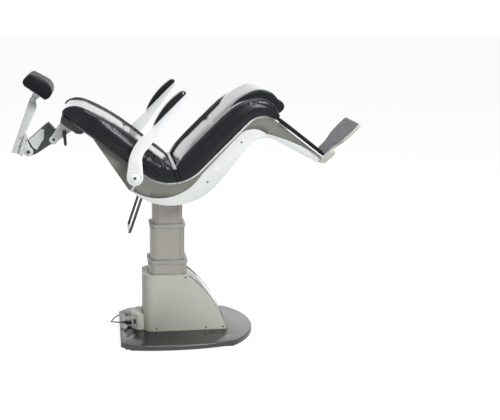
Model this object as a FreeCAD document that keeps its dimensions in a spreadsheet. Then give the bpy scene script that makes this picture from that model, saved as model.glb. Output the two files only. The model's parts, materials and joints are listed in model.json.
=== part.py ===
import FreeCAD, Part
import math
import os
import re
import Sketcher
from FreeCAD import Placement, Rotation, Vector

# Examination chair on a lifting pedestal, stored tilted right back with the column nearly up.
# Origin: on the floor under the column. +X is the way the patient faces, +Y their left, +Z up.
# The tilting seat is drawn upright, in heights above its tilt axis, and then leaned back.

os.makedirs("parts", exist_ok=True)
doc = FreeCAD.newDocument("ExaminationChair")
sheet = doc.addObject("Spreadsheet::Sheet", "Sizes")

SIZES = {
    # Tilt of the seat
    "tilt_x": 10,
    "tilt_height": 1075,
    "recline": 45,
    # Floor plate
    "base_rear": 260,
    "base_front": 470,
    "base_width": 606,
    "base_gap": 8,
    "base_top": 34,
    "anchor_length": 440,
    "anchor_width": 300,
    "anchor_radius": 6.5,
    # Pedestal cover
    "cover_width": 200,
    "cover_rear": 136,
    "cover_top": 349,
    "cover_shoulder": 104,
    "cover_nose": 322,
    "cover_wall": 3,
    "cover_corner": 58,
    "panel_gap": 0.3,
    # Telescopic column
    "stage_length": 204,
    "stage_width": 170,
    "stage_step": 11,
    "stage_wall": 4,
    "stage_chamfer": 24,
    "collar_height": 18,
    "collar_lip": 5,
    "lower_collar_z": 418,
    "upper_collar_z": 616,
    "column_top_z": 785,
    "lift_stroke": 120,
    "slide_gap": 0.3,
    "ram_radius": 18,
    "ram_wall": 12,
    "ram_clearance": 0.05,
    # Swivel head and tilt guides
    "bearing_radius": 62,
    "bearing_height": 12,
    "head_half": 150,
    "head_plate": 8,
    "rail_width": 12,
    "rail_outer": 296,
    "rail_depth": 22,
    "rail_post": 9,
    "shoe_gap": 0.3,
    "handle_half": 95,
    "handle_rod": 7.5,
    "shaft_radius": 8.5,
    "shaft_x": -62,
    "shaft_z": 837,
    # Shell of the seat, side view
    "belly_radius": 314,
    "seat_level": -197,
    "hip_x": 16,
    "hip_radius": 223,
    "knee_x": 361,
    "knee_radius": 105,
    "leg_slope": 7.5,
    "leg_end": -638,
    "under_knee_x": 283,
    "under_knee_z": -397,
    "under_knee_radius": 114,
    "under_leg_slope": 16,
    "deck_sheet": 8,
    # Shell of the seat, across
    "deck_half": 235,
    "side_half": 215,
    "side_sheet": 6,
    "leg_draw_in": 100,
    "flare_sheet": 3,
    "flare_gap": 0.2,
    # Back frame
    "back_lean": 8.6,
    "back_foot_x": -213,
    "back_foot_z": 90,
    "back_top": 520,
    "back_pan": 6,
    "bracket_top": 311,
    # Upholstery
    "seat_top": -75,
    "cushion_half": 263,
    "bolster_width": 88,
    "seam": 1,
    "panel_set_back": 10,
    "leg_pad": 20,
    "leg_pad_overhang": 16,
    # Arms
    "arm_half": 320,
    "arm_bar": 24,
    "arm_pivot_x": -235,
    "arm_pivot_z": 37,
    "arm_disk": 41,
    "arm_hub": 23,
    "arm_gap": 0.3,
    "arm_top": 154,
    "arm_pad_width": 62,
    # Footrest
    "foot_pivot_x": 564,
    "foot_pivot_z": -668,
    "foot_top": -648,
    "foot_neck_half": 88,
    "foot_front_half": 132,
    "foot_tray": 14,
    "foot_mat": 4,
    "foot_pin": 6,
    # Headrest
    "rail_block_depth": 58,
    "head_pad_half": 118,
    "shoulder_x": -423,
    "shoulder_z": 431,
    "elbow_x": -556,
    "elbow_z": 479,
    "nod_x": -342,
    "nod_z": 651,
    "link_half": 22,
    "stem_half": 5,
    "joint_bolt": 8,
    "running": 0.05,
}

for row, (alias, value) in enumerate(SIZES.items(), start=1):
    sheet.set(f"A{row}", alias)
    sheet.set(f"B{row}", str(value))
    sheet.setAlias(f"B{row}", alias)
doc.recompute()

nodes = []


def size(alias):
    """A driving dimension, read back from the sheet."""
    return float(sheet.get(alias))


def bind(target, prop, formula):
    """Tie a property to a formula of the sheet's names."""
    text = re.sub(r"[a-z]+_[a-z_]+|recline|seam|running",
                  lambda word: "Sizes." + word.group(0) if word.group(0) in SIZES else word.group(0),
                  formula)
    target.setExpression(prop, text)


tilt_x = size("tilt_x")
tilt_height = size("tilt_height")
tilt_axis = Vector(tilt_x, 0, tilt_height)
leaned = Placement(Vector(), Rotation(Vector(0, 1, 0), -size("recline")), tilt_axis)
upright = Placement(tilt_axis, Rotation())
seat_frame = leaned.multiply(upright)
floor_frame = Placement()


def node(thing, label, frame):
    """Name a finished piece and put it where its frame says."""
    thing.Label = label
    thing.Placement = frame.multiply(thing.Placement)
    nodes.append(thing)
    return thing


def polar(centre_x, centre_z, radius, degrees):
    turn = math.radians(degrees)
    return (centre_x + radius * math.cos(turn), centre_z + radius * math.sin(turn))


def via(x, z):
    """Marks the middle of an arc in an outline."""
    return ("via", x, z)


def circle(x, z, radius):
    return ("circle", x, z, radius)


def stretches(points):
    """The lines and arcs of a closed outline."""
    edges = []
    start = points[0]
    middle = None
    for point in points[1:] + points[:1]:
        if point[0] == "via":
            middle = Vector(point[1], point[2], 0)
            continue
        first = Vector(start[0], start[1], 0)
        last = Vector(point[0], point[1], 0)
        if middle is None:
            edges.append(Part.LineSegment(first, last))
        else:
            turn = (middle - first).cross(last - middle).z
            ends = (first, last) if turn > 0 else (last, first)
            edges.append(Part.Arc(ends[0], middle, ends[1]))
        start = point
        middle = None
    return edges


VIEWS = {"side": "XZ_Plane", "front": "YZ_Plane", "plan": "XY_Plane"}


def drawn(body, view, loops, start):
    """A sketch of closed loops in one view, standing at a distance along the view's axis."""
    sketch = body.newObject("Sketcher::SketchObject", "Outline")
    plane = next(item for item in body.Origin.OriginFeatures if item.Role == VIEWS[view])
    sketch.AttachmentSupport = [(plane, "")]
    sketch.MapMode = "FlatFace"
    along = f"-({start})" if view == "side" else start
    bind(sketch, "AttachmentOffset.Base.z", along)
    for loop in loops:
        if loop[0] == "circle":
            centre = Vector(loop[1], loop[2], 0)
            sketch.addGeometry(Part.Circle(centre, Vector(0, 0, 1), loop[3]), False)
            continue
        for edge in stretches(loop):
            sketch.addGeometry(edge, False)
    for index in range(sketch.GeometryCount):
        sketch.addConstraint(Sketcher.Constraint("Block", index))
    return sketch


def prism(name, view, loops, start, length):
    """A body padded from an outline, from start towards the view's positive axis."""
    body = doc.addObject("PartDesign::Body", name)
    sketch = drawn(body, view, loops, start)
    pad = body.newObject("PartDesign::Pad", "Pad")
    pad.Profile = sketch
    pad.Reversed = view == "side"
    bind(pad, "Length", length)
    return body


def dress(body, kind, measure, radius, wanted):
    """Fillet or chamfer the edges of a body that a test picks."""
    doc.recompute()
    names = [f"Edge{place}" for place, edge in enumerate(body.Tip.Shape.Edges, start=1)
             if wanted(edge)]
    feature = body.newObject(f"PartDesign::{kind}", kind)
    feature.Base = (body.Group[-2], names)
    bind(feature, measure, radius)


def placed(thing, at):
    for axis, formula in zip("xyz", at):
        bind(thing, f"Placement.Base.{axis}", formula)


def block(length, width, height, at):
    box = doc.addObject("Part::Box", "Block")
    bind(box, "Length", length)
    bind(box, "Width", width)
    bind(box, "Height", height)
    placed(box, at)
    return box


TURNS = {
    "x": Rotation(Vector(0, 1, 0), 90),
    "y": Rotation(Vector(1, 0, 0), -90),
    "z": Rotation(),
}


def rod(radius, length, at, axis="y"):
    """A cylinder that starts at a point and runs along a positive axis."""
    cylinder = doc.addObject("Part::Cylinder", "Rod")
    cylinder.Placement = Placement(Vector(), TURNS[axis])
    bind(cylinder, "Radius", radius)
    bind(cylinder, "Height", length)
    placed(cylinder, at)
    return cylinder


def joined(kind, pieces):
    """A union, a common part or a loose group of pieces."""
    result = doc.addObject(f"Part::{kind}", kind)
    if kind == "Compound":
        result.Links = pieces
    else:
        result.Shapes = pieces
    return result


def fused(pieces):
    return joined("MultiFuse", pieces)


def shared(pieces):
    return joined("MultiCommon", pieces)


def grouped(pieces):
    return joined("Compound", pieces)


def less(base, tools):
    cut = doc.addObject("Part::Cut", "Cut")
    cut.Base = base
    cut.Tool = tools[0] if len(tools) == 1 else fused(tools)
    return cut


def beside(side, inner, thickness):
    """Start of a sheet that lies outside a lateral distance, on the right or the left."""
    return inner if side > 0 else f"-({inner}) - ({thickness})"


SIDES = ((-1, "right"), (1, "left"))


def chamfered(half_length, half_width, corner):
    """Plan outline of a column section with chamfered corners."""
    return [
        (half_length, -half_width + corner), (half_length, half_width - corner),
        (half_length - corner, half_width), (-half_length + corner, half_width),
        (-half_length, half_width - corner), (-half_length, -half_width + corner),
        (-half_length + corner, -half_width), (half_length - corner, -half_width),
    ]


def stage_outline(stage, grow):
    """Outline of a column stage (0 is the outermost), grown by a margin."""
    step = stage * size("stage_step")
    half_length = size("stage_length") / 2 - step + grow
    half_width = size("stage_width") / 2 - step + grow
    return chamfered(half_length, half_width, size("stage_chamfer") - step * 0.3)


# Floor plate, its pads and its anchor holes

def build_floor_plate():
    rear = -size("base_rear")
    half = size("base_width") / 2
    shoulder_x = size("base_front") - 122
    front_half = half * 0.87
    corner = 54
    outline = [
        (rear, -half + corner + 18), (rear + corner, -half + 20),
        via(size("anchor_length") / 5, -half), (shoulder_x, -front_half),
        via(size("base_front"), 0), (shoulder_x, front_half),
        via(size("anchor_length") / 5, half), (rear + corner, half - 20),
        (rear, half - corner - 18),
    ]
    holes = [circle(along * size("anchor_length") / 2, across * size("anchor_width") / 2,
                    size("anchor_radius"))
             for along in (-1, 1) for across in (-1, 1)]
    plate = prism("BasePlate", "plan", [outline] + holes, "base_gap", "base_top - base_gap")
    dress(plate, "Chamfer", "Size", "base_gap / 2",
          lambda edge: edge.BoundBox.ZMin > size("base_top") - 0.1
          and edge.BoundBox.DiagonalLength > 3 * size("anchor_radius"))
    node(plate, "base_plate", floor_frame)

    strips = []
    for low, high, pad_half in ((rear + 24, rear + 104, half - 54),
                                (shoulder_x - 148, shoulder_x - 10, front_half - 4)):
        strip = [(low, -pad_half), (high, -pad_half), (high, pad_half), (low, pad_half)]
        reliefs = [hole for hole in holes if low < hole[1] < high]
        strips.append(prism("Pad", "plan", [strip] + reliefs, "0", "base_gap"))
    node(grouped(strips), "floor_pads", floor_frame)


# Pedestal cover, its front panel and its screws

def nose_outline(shrink):
    """Side view of the pedestal, shrunk all round by a wall."""
    rear = -size("cover_rear") + shrink
    top = size("cover_top") - shrink
    shoulder = size("cover_shoulder") - shrink * 0.4
    nose = size("cover_nose") - shrink
    floor = size("base_top")
    middle_x = shoulder + (nose - shoulder) * 0.52
    middle_z = floor + (top - floor) * 0.64
    return [(rear, floor), (rear, top), (shoulder, top), via(middle_x, middle_z), (nose, floor)]


def is_rear_corner(edge):
    box = edge.BoundBox
    return box.XMax < -size("cover_rear") + 8 and box.ZLength > size("cover_top") / 2


def build_pedestal():
    wall = size("cover_wall")
    inside = nose_outline(wall)
    inside[0] = (inside[0][0], inside[0][1] - 1)
    inside[-1] = (inside[-1][0], inside[-1][1] - 1)
    outer = prism("CoverOuter", "side", [nose_outline(0)], "-cover_width / 2", "cover_width")
    dress(outer, "Fillet", "Radius", "cover_corner", is_rear_corner)
    inner = prism("CoverInner", "side", [inside], "-cover_width / 2 + cover_wall",
                  "cover_width - 2 * cover_wall")
    dress(inner, "Fillet", "Radius", "cover_corner - cover_wall", is_rear_corner)
    mouth = prism("CoverMouth", "plan", [stage_outline(0, size("slide_gap") * 2)],
                  "cover_top - 40", "60")
    window_back = size("cover_shoulder")
    window = prism("CoverWindow", "side",
                   [[(window_back, size("base_top") - 5), (window_back, size("cover_top") + 5),
                     (size("cover_nose") + 40, size("cover_top") + 5),
                     (size("cover_nose") + 40, size("base_top") - 5)]],
                   "-cover_width / 2 + cover_wall", "cover_width - 2 * cover_wall")
    node(less(outer, [inner, mouth, window]), "pedestal_cover", floor_frame)

    gap = size("panel_gap")
    skin = nose_outline(gap)
    core = nose_outline(gap + wall)
    shell = prism("PanelShell", "side", [skin], "-cover_width / 2 + cover_wall + panel_gap",
                  "cover_width - 2 * cover_wall - 2 * panel_gap")
    hollow = prism("PanelCore", "side",
                   [[(core[0][0] - 20, core[0][1] - 5), (core[1][0] - 20, core[1][1]),
                     core[2], core[3], (core[4][0], core[4][1]), (core[4][0], core[4][1] - 5)]],
                   "-cover_width / 2", "cover_width")
    behind = block("cover_rear + cover_shoulder + panel_gap", "cover_width", "cover_top + 40",
                   ("-cover_rear", "-cover_width / 2", "0"))
    node(less(shell, [hollow, behind]), "pedestal_front_panel", floor_frame)

    heads = []
    floor = size("base_top")
    screw_row = floor + 14
    for x, z in ((-64, screw_row), (205, screw_row), (size("cover_nose") - 22, screw_row),
                 (size("cover_shoulder") - 12, size("cover_top") - 14)):
        for side, _ in SIDES:
            heads.append(rod("4.5", "1.6", (str(x), beside(side, "cover_width / 2", "1.6"), str(z))))
    node(grouped(heads), "pedestal_screws", floor_frame)


# Mains inlet at the foot of the pedestal

INLET_REAR = -197
INLET_HALF = 65
INLET_FACET = 34
INLET_HEIGHT = 87
SOCKET_LEVEL = 56


def build_inlet():
    front = -size("cover_rear") + 16
    outline = [
        (INLET_REAR, -INLET_HALF + INLET_FACET), (INLET_REAR + INLET_FACET, -INLET_HALF),
        (front, -INLET_HALF), (front, INLET_HALF),
        (INLET_REAR + INLET_FACET, INLET_HALF), (INLET_REAR, INLET_HALF - INLET_FACET),
    ]
    case = prism("InletCase", "plan", [outline], "base_top", str(INLET_HEIGHT))
    seat = prism("InletSeat", "side", [nose_outline(-size("panel_gap"))],
                 "-cover_width / 2 - panel_gap", "cover_width + 2 * panel_gap")
    dress(seat, "Fillet", "Radius", "cover_corner + panel_gap", is_rear_corner)
    socket_hole = block("24", "31", "25", (str(INLET_REAR - 1), "-15.5", str(SOCKET_LEVEL - 12.5)))
    rocker_hole = rocker_block("RockerHole", 16, 26.4, 18, 0.5)
    node(less(case, [seat, socket_hole, rocker_hole]), "inlet_box", floor_frame)

    body = block("22", "30.4", "24.4", (str(INLET_REAR), "-15.2", str(SOCKET_LEVEL - 12.2)))
    well = block("16", "24", "17", (str(INLET_REAR - 1), "-12", str(SOCKET_LEVEL - 8.5)))
    node(less(body, [well]), "inlet_socket", floor_frame)

    node(rocker_block("Rocker", 12, 23.4, 17.4, 1.5), "power_rocker", floor_frame)


def rocker_block(name, depth, height, width, proud):
    """A block set square to the inlet's right-hand facet."""
    piece = doc.addObject("Part::Box", name)
    bind(piece, "Length", str(depth + proud))
    bind(piece, "Width", str(width))
    bind(piece, "Height", str(height))
    facet = Rotation(Vector(0, 0, 1), 45)
    middle = Vector(INLET_REAR + INLET_FACET / 2, -INLET_HALF + INLET_FACET / 2, SOCKET_LEVEL + 20)
    corner = facet.multVec(Vector(-proud, -width / 2, -height / 2))
    piece.Placement = Placement(middle + corner, facet)
    return piece


# Telescopic column

def tube(name, stage, bottom, top):
    wall = size("stage_wall")
    loops = [stage_outline(stage, 0), stage_outline(stage, -wall)]
    return prism(name, "plan", loops, bottom, f"{top} - ({bottom})")


def collar(name, stage, level):
    """A cap round the mouth of one stage that the next one slides through."""
    lip = prism(name, "plan",
                [stage_outline(stage, size("collar_lip")),
                 stage_outline(stage, size("panel_gap"))],
                f"{level} - collar_height * 0.6", "collar_height * 0.6")
    crown = prism(name + "Crown", "plan",
                  [stage_outline(stage, size("collar_lip")),
                   stage_outline(stage + 1, size("slide_gap"))],
                  level, "collar_height * 0.4")
    return fused([lip, crown])


def build_column():
    node(tube("OuterStage", 0, "base_top", "lower_collar_z"), "column_outer", floor_frame)
    node(collar("LowerCollar", 0, "lower_collar_z"), "column_lower_collar", floor_frame)
    middle_foot = "base_top + lift_stroke + 4"
    node(tube("MiddleStage", 1, middle_foot, "upper_collar_z"), "column_middle", floor_frame)
    node(collar("UpperCollar", 1, "upper_collar_z"), "column_upper_collar", floor_frame)
    inner_foot = "base_top + 2 * lift_stroke + 8"
    inner = tube("InnerStage", 2, inner_foot, "column_top_z")
    cap = prism("InnerCap", "plan", [stage_outline(2, 0)], "column_top_z - stage_wall", "stage_wall")
    node(fused([inner, cap]), "column_inner", floor_frame)

    step = size("stage_step")
    for stage, label, foot in ((1, "middle_guide_pads", middle_foot),
                               (2, "inner_guide_pads", inner_foot)):
        pads = []
        half_length = size("stage_length") / 2 - stage * step
        half_width = size("stage_width") / 2 - stage * step
        depth = step - size("stage_wall") - size("slide_gap")
        for height in ("6", "70"):
            low = f"{foot} + {height}"
            for side in (-1, 1):
                x = half_length if side > 0 else -half_length - depth
                pads.append(block(str(depth), "40", "22", (str(x), "-20", low)))
                y = half_width if side > 0 else -half_width - depth
                pads.append(block("40", str(depth), "22", ("-20", str(y), low)))
        node(grouped(pads), label, floor_frame)

    bore = "ram_radius + ram_clearance"
    barrel = rod("ram_radius + ram_wall", "lower_collar_z - base_top - 18", ("0", "0", "base_top"), "z")
    hole = rod(bore, "lower_collar_z", ("0", "0", "base_top + 10"), "z")
    node(less(barrel, [hole]), "ram_cylinder", floor_frame)
    node(rod("ram_radius", "column_top_z - stage_wall - base_top - 2 * lift_stroke - 20",
             ("0", "0", "base_top + 2 * lift_stroke + 20"), "z"), "ram_rod", floor_frame)
    pump = rod("30", "110", ("150", "-55", "base_top + 42"), "y")
    tank = block("96", "120", "12", ("104", "-60", "base_top"))
    foot = block("50", "90", "6", ("125", "-45", "base_top + 9"))
    node(fused([pump, tank, foot]), "lift_pump", floor_frame)


# Swivel head: bearing, cheeks and the shoes that the tilt rails run in

SHOE_ANGLES = (-11, 11)


def arc_band(inner, outer, low, high):
    """Outline of a stretch of ring about the tilt axis; 0 is straight down, + is forward."""
    middle = (low + high) / 2
    return [
        polar(0, 0, outer, low - 90), via(*polar(0, 0, outer, middle - 90)),
        polar(0, 0, outer, high - 90), polar(0, 0, inner, high - 90),
        via(*polar(0, 0, inner, middle - 90)), polar(0, 0, inner, low - 90),
    ]


def build_head():
    lower = rod("bearing_radius", "bearing_height", ("0", "0", "column_top_z"), "z")
    node(lower, "swivel_race", floor_frame)
    turret_z = "column_top_z + bearing_height + 0.3"
    turret = rod("bearing_radius - 4", "bearing_height", ("0", "0", turret_z), "z")
    plate_z = "column_top_z + 2 * bearing_height + 0.3"
    plate = block("164", "2 * head_half", "head_plate", ("-72", "-head_half", plate_z))
    rail_inner = size("rail_outer") - size("rail_depth")
    gap = size("shoe_gap")
    blocks = []
    cheeks = []
    for side, _ in SIDES:
        for angle in SHOE_ANGLES:
            for inner, outer in ((rail_inner - 12, rail_inner - gap),
                                 (size("rail_outer") + gap, size("rail_outer") + 12)):
                blocks.append(prism("Shoe", "side", [arc_band(inner, outer, angle - 3.5, angle + 3.5)],
                                    beside(side, "head_half + head_plate", "rail_width"), "rail_width"))
        cheek = prism("Cheek", "side", [cheek_outline(rail_inner)], beside(side, "head_half", "head_plate"),
                      "head_plate")
        cheek.Placement = upright
        eye = rod("shaft_radius + running", "head_plate + 2",
                  ("shaft_x", beside(side, "head_half - 1", "head_plate + 2"), "shaft_z"))
        cheeks.append(less(cheek, [eye]))
    node(fused([turret, plate] + cheeks), "swivel_head", floor_frame)
    node(grouped(blocks), "tilt_shoes", upright)


def cheek_outline(rail_inner):
    """Head cheek: a sector plate that carries the shoes, seen from the side."""
    floor = size("column_top_z") + 2 * size("bearing_height") + 0.3 - size("tilt_height")
    low = size("rail_outer") + 12
    sweep = SHOE_ANGLES[1] + 4.5
    return [
        polar(0, 0, low, -90 - sweep), via(*polar(0, 0, low, -90)), polar(0, 0, low, -90 + sweep),
        polar(0, 0, rail_inner - 14, -90 + sweep), (40, floor + 26),
        (size("shaft_x") - tilt_x + 22, floor + 50), (size("shaft_x") - tilt_x - 22, floor + 50),
        (size("shaft_x") - tilt_x - 24, floor + 20),
    ]


def build_handle():
    """Release loop under the seat, with its cross shaft in the head cheeks."""
    half = size("handle_half")
    radius = size("handle_rod")
    shaft_x, shaft_z = size("shaft_x"), size("shaft_z")
    top = Vector(shaft_x, half, shaft_z)
    knee = Vector(shaft_x - 79, half, shaft_z - 62)
    toe = Vector(shaft_x - 143, half, shaft_z - 252)
    bend = 32
    down = (toe - knee).normalize()
    stop = toe - down * bend
    corner = toe + Vector(0, -bend, 0)
    turn = 1 - math.sqrt(0.5)
    middle = toe - down * bend * turn + Vector(0, -bend * turn, 0)

    def mirrored(point):
        return Vector(point.x, -point.y, point.z)

    edges = [
        Part.LineSegment(top, knee).toShape(),
        Part.LineSegment(knee, stop).toShape(),
        Part.Arc(stop, middle, corner).toShape(),
        Part.LineSegment(corner, mirrored(corner)).toShape(),
        Part.Arc(mirrored(corner), mirrored(middle), mirrored(stop)).toShape(),
        Part.LineSegment(mirrored(stop), mirrored(knee)).toShape(),
        Part.LineSegment(mirrored(knee), mirrored(top)).toShape(),
    ]
    path = Part.Wire(edges)
    ring = Part.Wire(Part.Circle(top, knee - top, radius).toShape())
    loop = path.makePipeShell([ring], True, False, 2)
    handle = doc.addObject("Part::Feature", "Loop")
    handle.Shape = loop
    shaft = rod("shaft_radius", "2 * (head_half + head_plate)",
                ("shaft_x", "-head_half - head_plate", "shaft_z"))
    node(fused([handle, shaft]), "release_handle", floor_frame)


# Shell of the tilting seat: one bent deck between two bent side plates

def deck_line(offset):
    """The deck's line in the side view, offset towards the patient."""
    hip_z = size("seat_level") + size("hip_radius")
    knee_z = size("seat_level") - size("knee_radius")
    hip = size("hip_radius") - offset
    knee = size("knee_radius") + offset
    slope = size("leg_slope")
    leg_start = polar(size("knee_x"), knee_z, knee, slope)
    run = (leg_start[1] - size("leg_end")) * math.tan(math.radians(slope))
    return [
        polar(size("hip_x"), hip_z, hip, 186), via(*polar(size("hip_x"), hip_z, hip, 228)),
        (size("hip_x"), hip_z - hip), (size("knee_x"), knee_z + knee),
        via(*polar(size("knee_x"), knee_z, knee, 45)), leg_start,
        (leg_start[0] + run, size("leg_end")),
    ]


def belly_line():
    """The shell's lower edge in the side view, from its rear tip to the end of the leg."""
    belly = size("belly_radius")
    knee_x, knee_z, knee = size("under_knee_x"), size("under_knee_z"), size("under_knee_radius")
    reach = math.hypot(knee_x, knee_z)
    slope = math.degrees(math.atan2(knee_z, knee_x) + math.asin((belly + knee) / reach))
    leg = size("under_leg_slope")
    leg_start = polar(knee_x, knee_z, knee, leg)
    run = (leg_start[1] - size("leg_end")) * math.tan(math.radians(leg))
    return [
        polar(0, 0, belly, 182), via(*polar(0, 0, belly, 228)), polar(0, 0, belly, slope - 90),
        polar(knee_x, knee_z, knee, slope + 90), via(*polar(knee_x, knee_z, knee, 56)), leg_start,
        (leg_start[0] + run, size("leg_end")),
    ]


def leg_bend(height, half):
    """Lateral distance of the shell at a height: straight to the knee, drawn in down the leg."""
    start = size("seat_level") - size("knee_radius")
    if height >= start:
        return half
    share = (start - height) / (start - size("leg_end"))
    return half - share * size("leg_draw_in")


def bent_strip(side, outer_half, sheet):
    """Front view of one bent side sheet, outer face first."""
    top = 420
    knee = size("seat_level") - size("knee_radius")
    end = size("leg_end")
    outline = [
        (outer_half, top), (outer_half, knee), (leg_bend(end, outer_half), end),
        (leg_bend(end, outer_half) - sheet, end), (outer_half - sheet, knee),
        (outer_half - sheet, top),
    ]
    return [(side * y, z) for y, z in outline]


def build_deck():
    half = size("deck_sheet") / 2
    top = deck_line(half)
    bottom = deck_line(-half)
    profile = top + bottom[::-1]
    sheet_body = prism("DeckSheet", "side", [profile], "-deck_half", "2 * deck_half")
    deck_half = size("deck_half")
    end_half = deck_half - size("leg_draw_in")
    knee = size("seat_level") - size("knee_radius")
    end = size("leg_end")
    front = [
        (-deck_half, 200), (-deck_half, knee), (-end_half, end - 1),
        (end_half, end - 1), (deck_half, knee), (deck_half, 200),
    ]
    trim = prism("DeckTrim", "front", [front], "-400", "1000")
    node(shared([sheet_body, trim]), "seat_deck", seat_frame)


def build_side_plates():
    under = deck_line(-size("deck_sheet") / 2)
    outline = under + belly_line()[::-1]
    for side, name in SIDES:
        slab = prism("PlateSlab", "side", [outline],
                     beside(side, "side_half - leg_draw_in - 40", "leg_draw_in + 60"),
                     "leg_draw_in + 60")
        strip = prism("PlateStrip", "front",
                      [bent_strip(side, size("side_half"), size("side_sheet"))], "-500", "1100")
        node(shared([slab, strip]), f"side_plate_{name}", seat_frame)


# Screws and round cap on each side plate, in the side view
PLATE_SCREWS = [(-6, -266), (262, -244)]
PLATE_CAP = (71, -254)


def build_plate_screws():
    heads = []
    for side, _ in SIDES:
        for x, z in PLATE_SCREWS:
            heads.append(rod("5", "2.5", (str(x), beside(side, "side_half + running", "2.5"), str(z))))
        x, z = PLATE_CAP
        heads.append(rod("18", "1.5", (str(x), beside(side, "side_half + running", "1.5"), str(z))))
    node(grouped(heads), "plate_screws", seat_frame)


# How far the skirt's crease lies from the deck's rim, at each of the rim's points
CREASE_STEPS = [
    (-94, -25), (-69, -33), (-16, -15), (-71, -8), (-85, -2), (-78, 0), (-35, 23), (-2, 0),
]


def build_flares():
    """Flared skirts that carry the shell out from its side plates to the rim of the deck."""
    rim = deck_line(-size("deck_sheet") / 2)
    rim_points = [point[-2:] for point in rim]
    leg_middle = [(a + b) / 2 for a, b in zip(rim_points[5], rim_points[6])]
    rim_points.insert(6, tuple(leg_middle))
    crease_points = [(x + step_x, z + step_z)
                     for (x, z), (step_x, step_z) in zip(rim_points, CREASE_STEPS)]
    bend_start = size("seat_level") - size("knee_radius")
    crease_points[5] = (crease_points[5][0], bend_start)
    crease_half = size("side_half") + size("flare_sheet") + size("flare_gap")
    lateral = size("deck_half") - 2 - crease_half
    for side, name in SIDES:
        def curve(share, out):
            """One lengthwise line of the skirt between crease (0) and rim (1)."""
            points = []
            for crease, edge in zip(crease_points, rim_points):
                x = crease[0] + share * (edge[0] - crease[0])
                z = crease[1] + share * (edge[1] - crease[1])
                y = leg_bend(z, crease_half + out * lateral)
                points.append(Vector(x, side * y, z))
            return [
                Part.Arc(*points[0:3]).toShape(), Part.LineSegment(*points[2:4]).toShape(),
                Part.Arc(*points[3:6]).toShape(), Part.Arc(*points[5:8]).toShape(),
            ]

        lines = [curve(0, 0), curve(0.5, 0.28), curve(0.85, 0.68), curve(0.995, 1)]
        inward = Vector(0, -side * size("flare_sheet"), 0)
        strips = []
        for lower, upper in zip(lines, lines[1:]):
            for first, second in zip(lower, upper):
                strips.append(Part.makeRuledSurface(first, second).extrude(inward))
        skirt = strips[0].multiFuse(strips[1:]).removeSplitter()
        flare = doc.addObject("Part::Feature", "Skirt")
        flare.Shape = skirt.Solids[0]
        node(flare, f"side_flare_{name}", seat_frame)


def build_tilt_rails():
    rail_inner = size("rail_outer") - size("rail_depth")
    rails = []
    for side, _ in SIDES:
        rails.append(prism("Rail", "side", [arc_band(rail_inner, size("rail_outer"), -62, 17)],
                           beside(side, "head_half + head_plate + shoe_gap", "rail_width"),
                           "rail_width"))
        for angle, sheets in ((-58, 2), (-24, 1), (13, 1)):
            post = polar(0, 0, (rail_inner + size("rail_outer")) / 2, angle - 90)
            start = "head_half + head_plate + shoe_gap + rail_width"
            length = f"side_half - {sheets} * side_sheet - ({start})"
            rails.append(rod("rail_post", length, (str(post[0]), beside(side, start, length), str(post[1]))))
    node(fused(rails), "tilt_rails", seat_frame)


# Back: side brackets, pan and upholstery

def back_x(z, behind=0):
    """Rear plane of the back upholstery at a height, or a distance behind it."""
    slope = math.tan(math.radians(size("back_lean")))
    return size("back_foot_x") - (z - size("back_foot_z")) * slope - behind


def build_back_frame():
    hip_z = size("seat_level") + size("hip_radius")
    under = size("hip_radius") + size("deck_sheet") / 2 + 1
    pan = size("back_pan")
    head = size("bracket_top")
    outline = [
        (back_x(head, pan), head), (back_x(60, pan), 60),
        polar(size("hip_x"), hip_z, under, 187), via(*polar(size("hip_x"), hip_z, under, 200)),
        polar(size("hip_x"), hip_z, under, 214), polar(0, 0, size("belly_radius") - 10, 221),
        via(*polar(0, 0, size("belly_radius") - 8, 203)), polar(0, 0, size("belly_radius") + 3, 181),
    ]
    for side, name in SIDES:
        inner = "side_half - 2 * side_sheet"
        bracket = prism("Bracket", "side", [outline], beside(side, inner, "side_sheet"), "side_sheet")
        node(bracket, f"back_bracket_{name}", seat_frame)
    low, high = 60, size("back_top") - 24
    profile = [(back_x(low), low), (back_x(high), high), (back_x(high, pan), high),
               (back_x(low, pan), low)]
    node(prism("Pan", "side", [profile], "-side_half", "2 * side_half"), "back_pan", seat_frame)


def over_hip(degrees, clearance):
    """A point above the deck's hip bend, at an angle about the bend's centre."""
    radius = size("hip_radius") - size("deck_sheet") / 2 - clearance
    return polar(size("hip_x"), size("seat_level") + size("hip_radius"), radius, degrees)


def back_outline(depth_share, drop):
    """Side view of the back upholstery, its depth scaled for the lower centre panel."""
    top = size("back_top")

    def at(x, z):
        rear = back_x(z)
        return (rear + (x - rear) * depth_share, z)

    return [
        (back_x(90, -0.3), 90), over_hip(185, 1.5), via(*over_hip(208, 1.5)), over_hip(236, 1.5),
        at(-72, -84), via(*at(-79, -27)), at(-87, 25),
        via(*at(-99, 160)), at(-128, 320), at(-163, top - 93), via(*at(-189, top - 34 - drop)),
        (-237, top - drop), (back_x(top - drop, -6), top - drop),
        (back_x(top - 15 - drop, -0.3), top - 15 - drop),
    ]


def bolster_pair(name, outline, label, front=None):
    """Two side cushions, cut where wanted to half an outline seen from the front."""
    inner = "cushion_half - bolster_width"
    for side, hand in SIDES:
        piece = prism(name, "side", [outline], beside(side, inner, "bolster_width"), "bolster_width")
        if front:
            cut = [point[:-2] + (side * point[-2], point[-1]) for point in front]
            piece = shared([piece, prism("Shoulder", "front", [cut], "-500", "700")])
        node(piece, f"{label}_{hand}", seat_frame)


def centre_panel(name, outline, label):
    half = "cushion_half - bolster_width - seam"
    piece = prism(name, "side", [outline], f"-({half})", f"2 * ({half})")
    node(piece, label, seat_frame)


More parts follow.
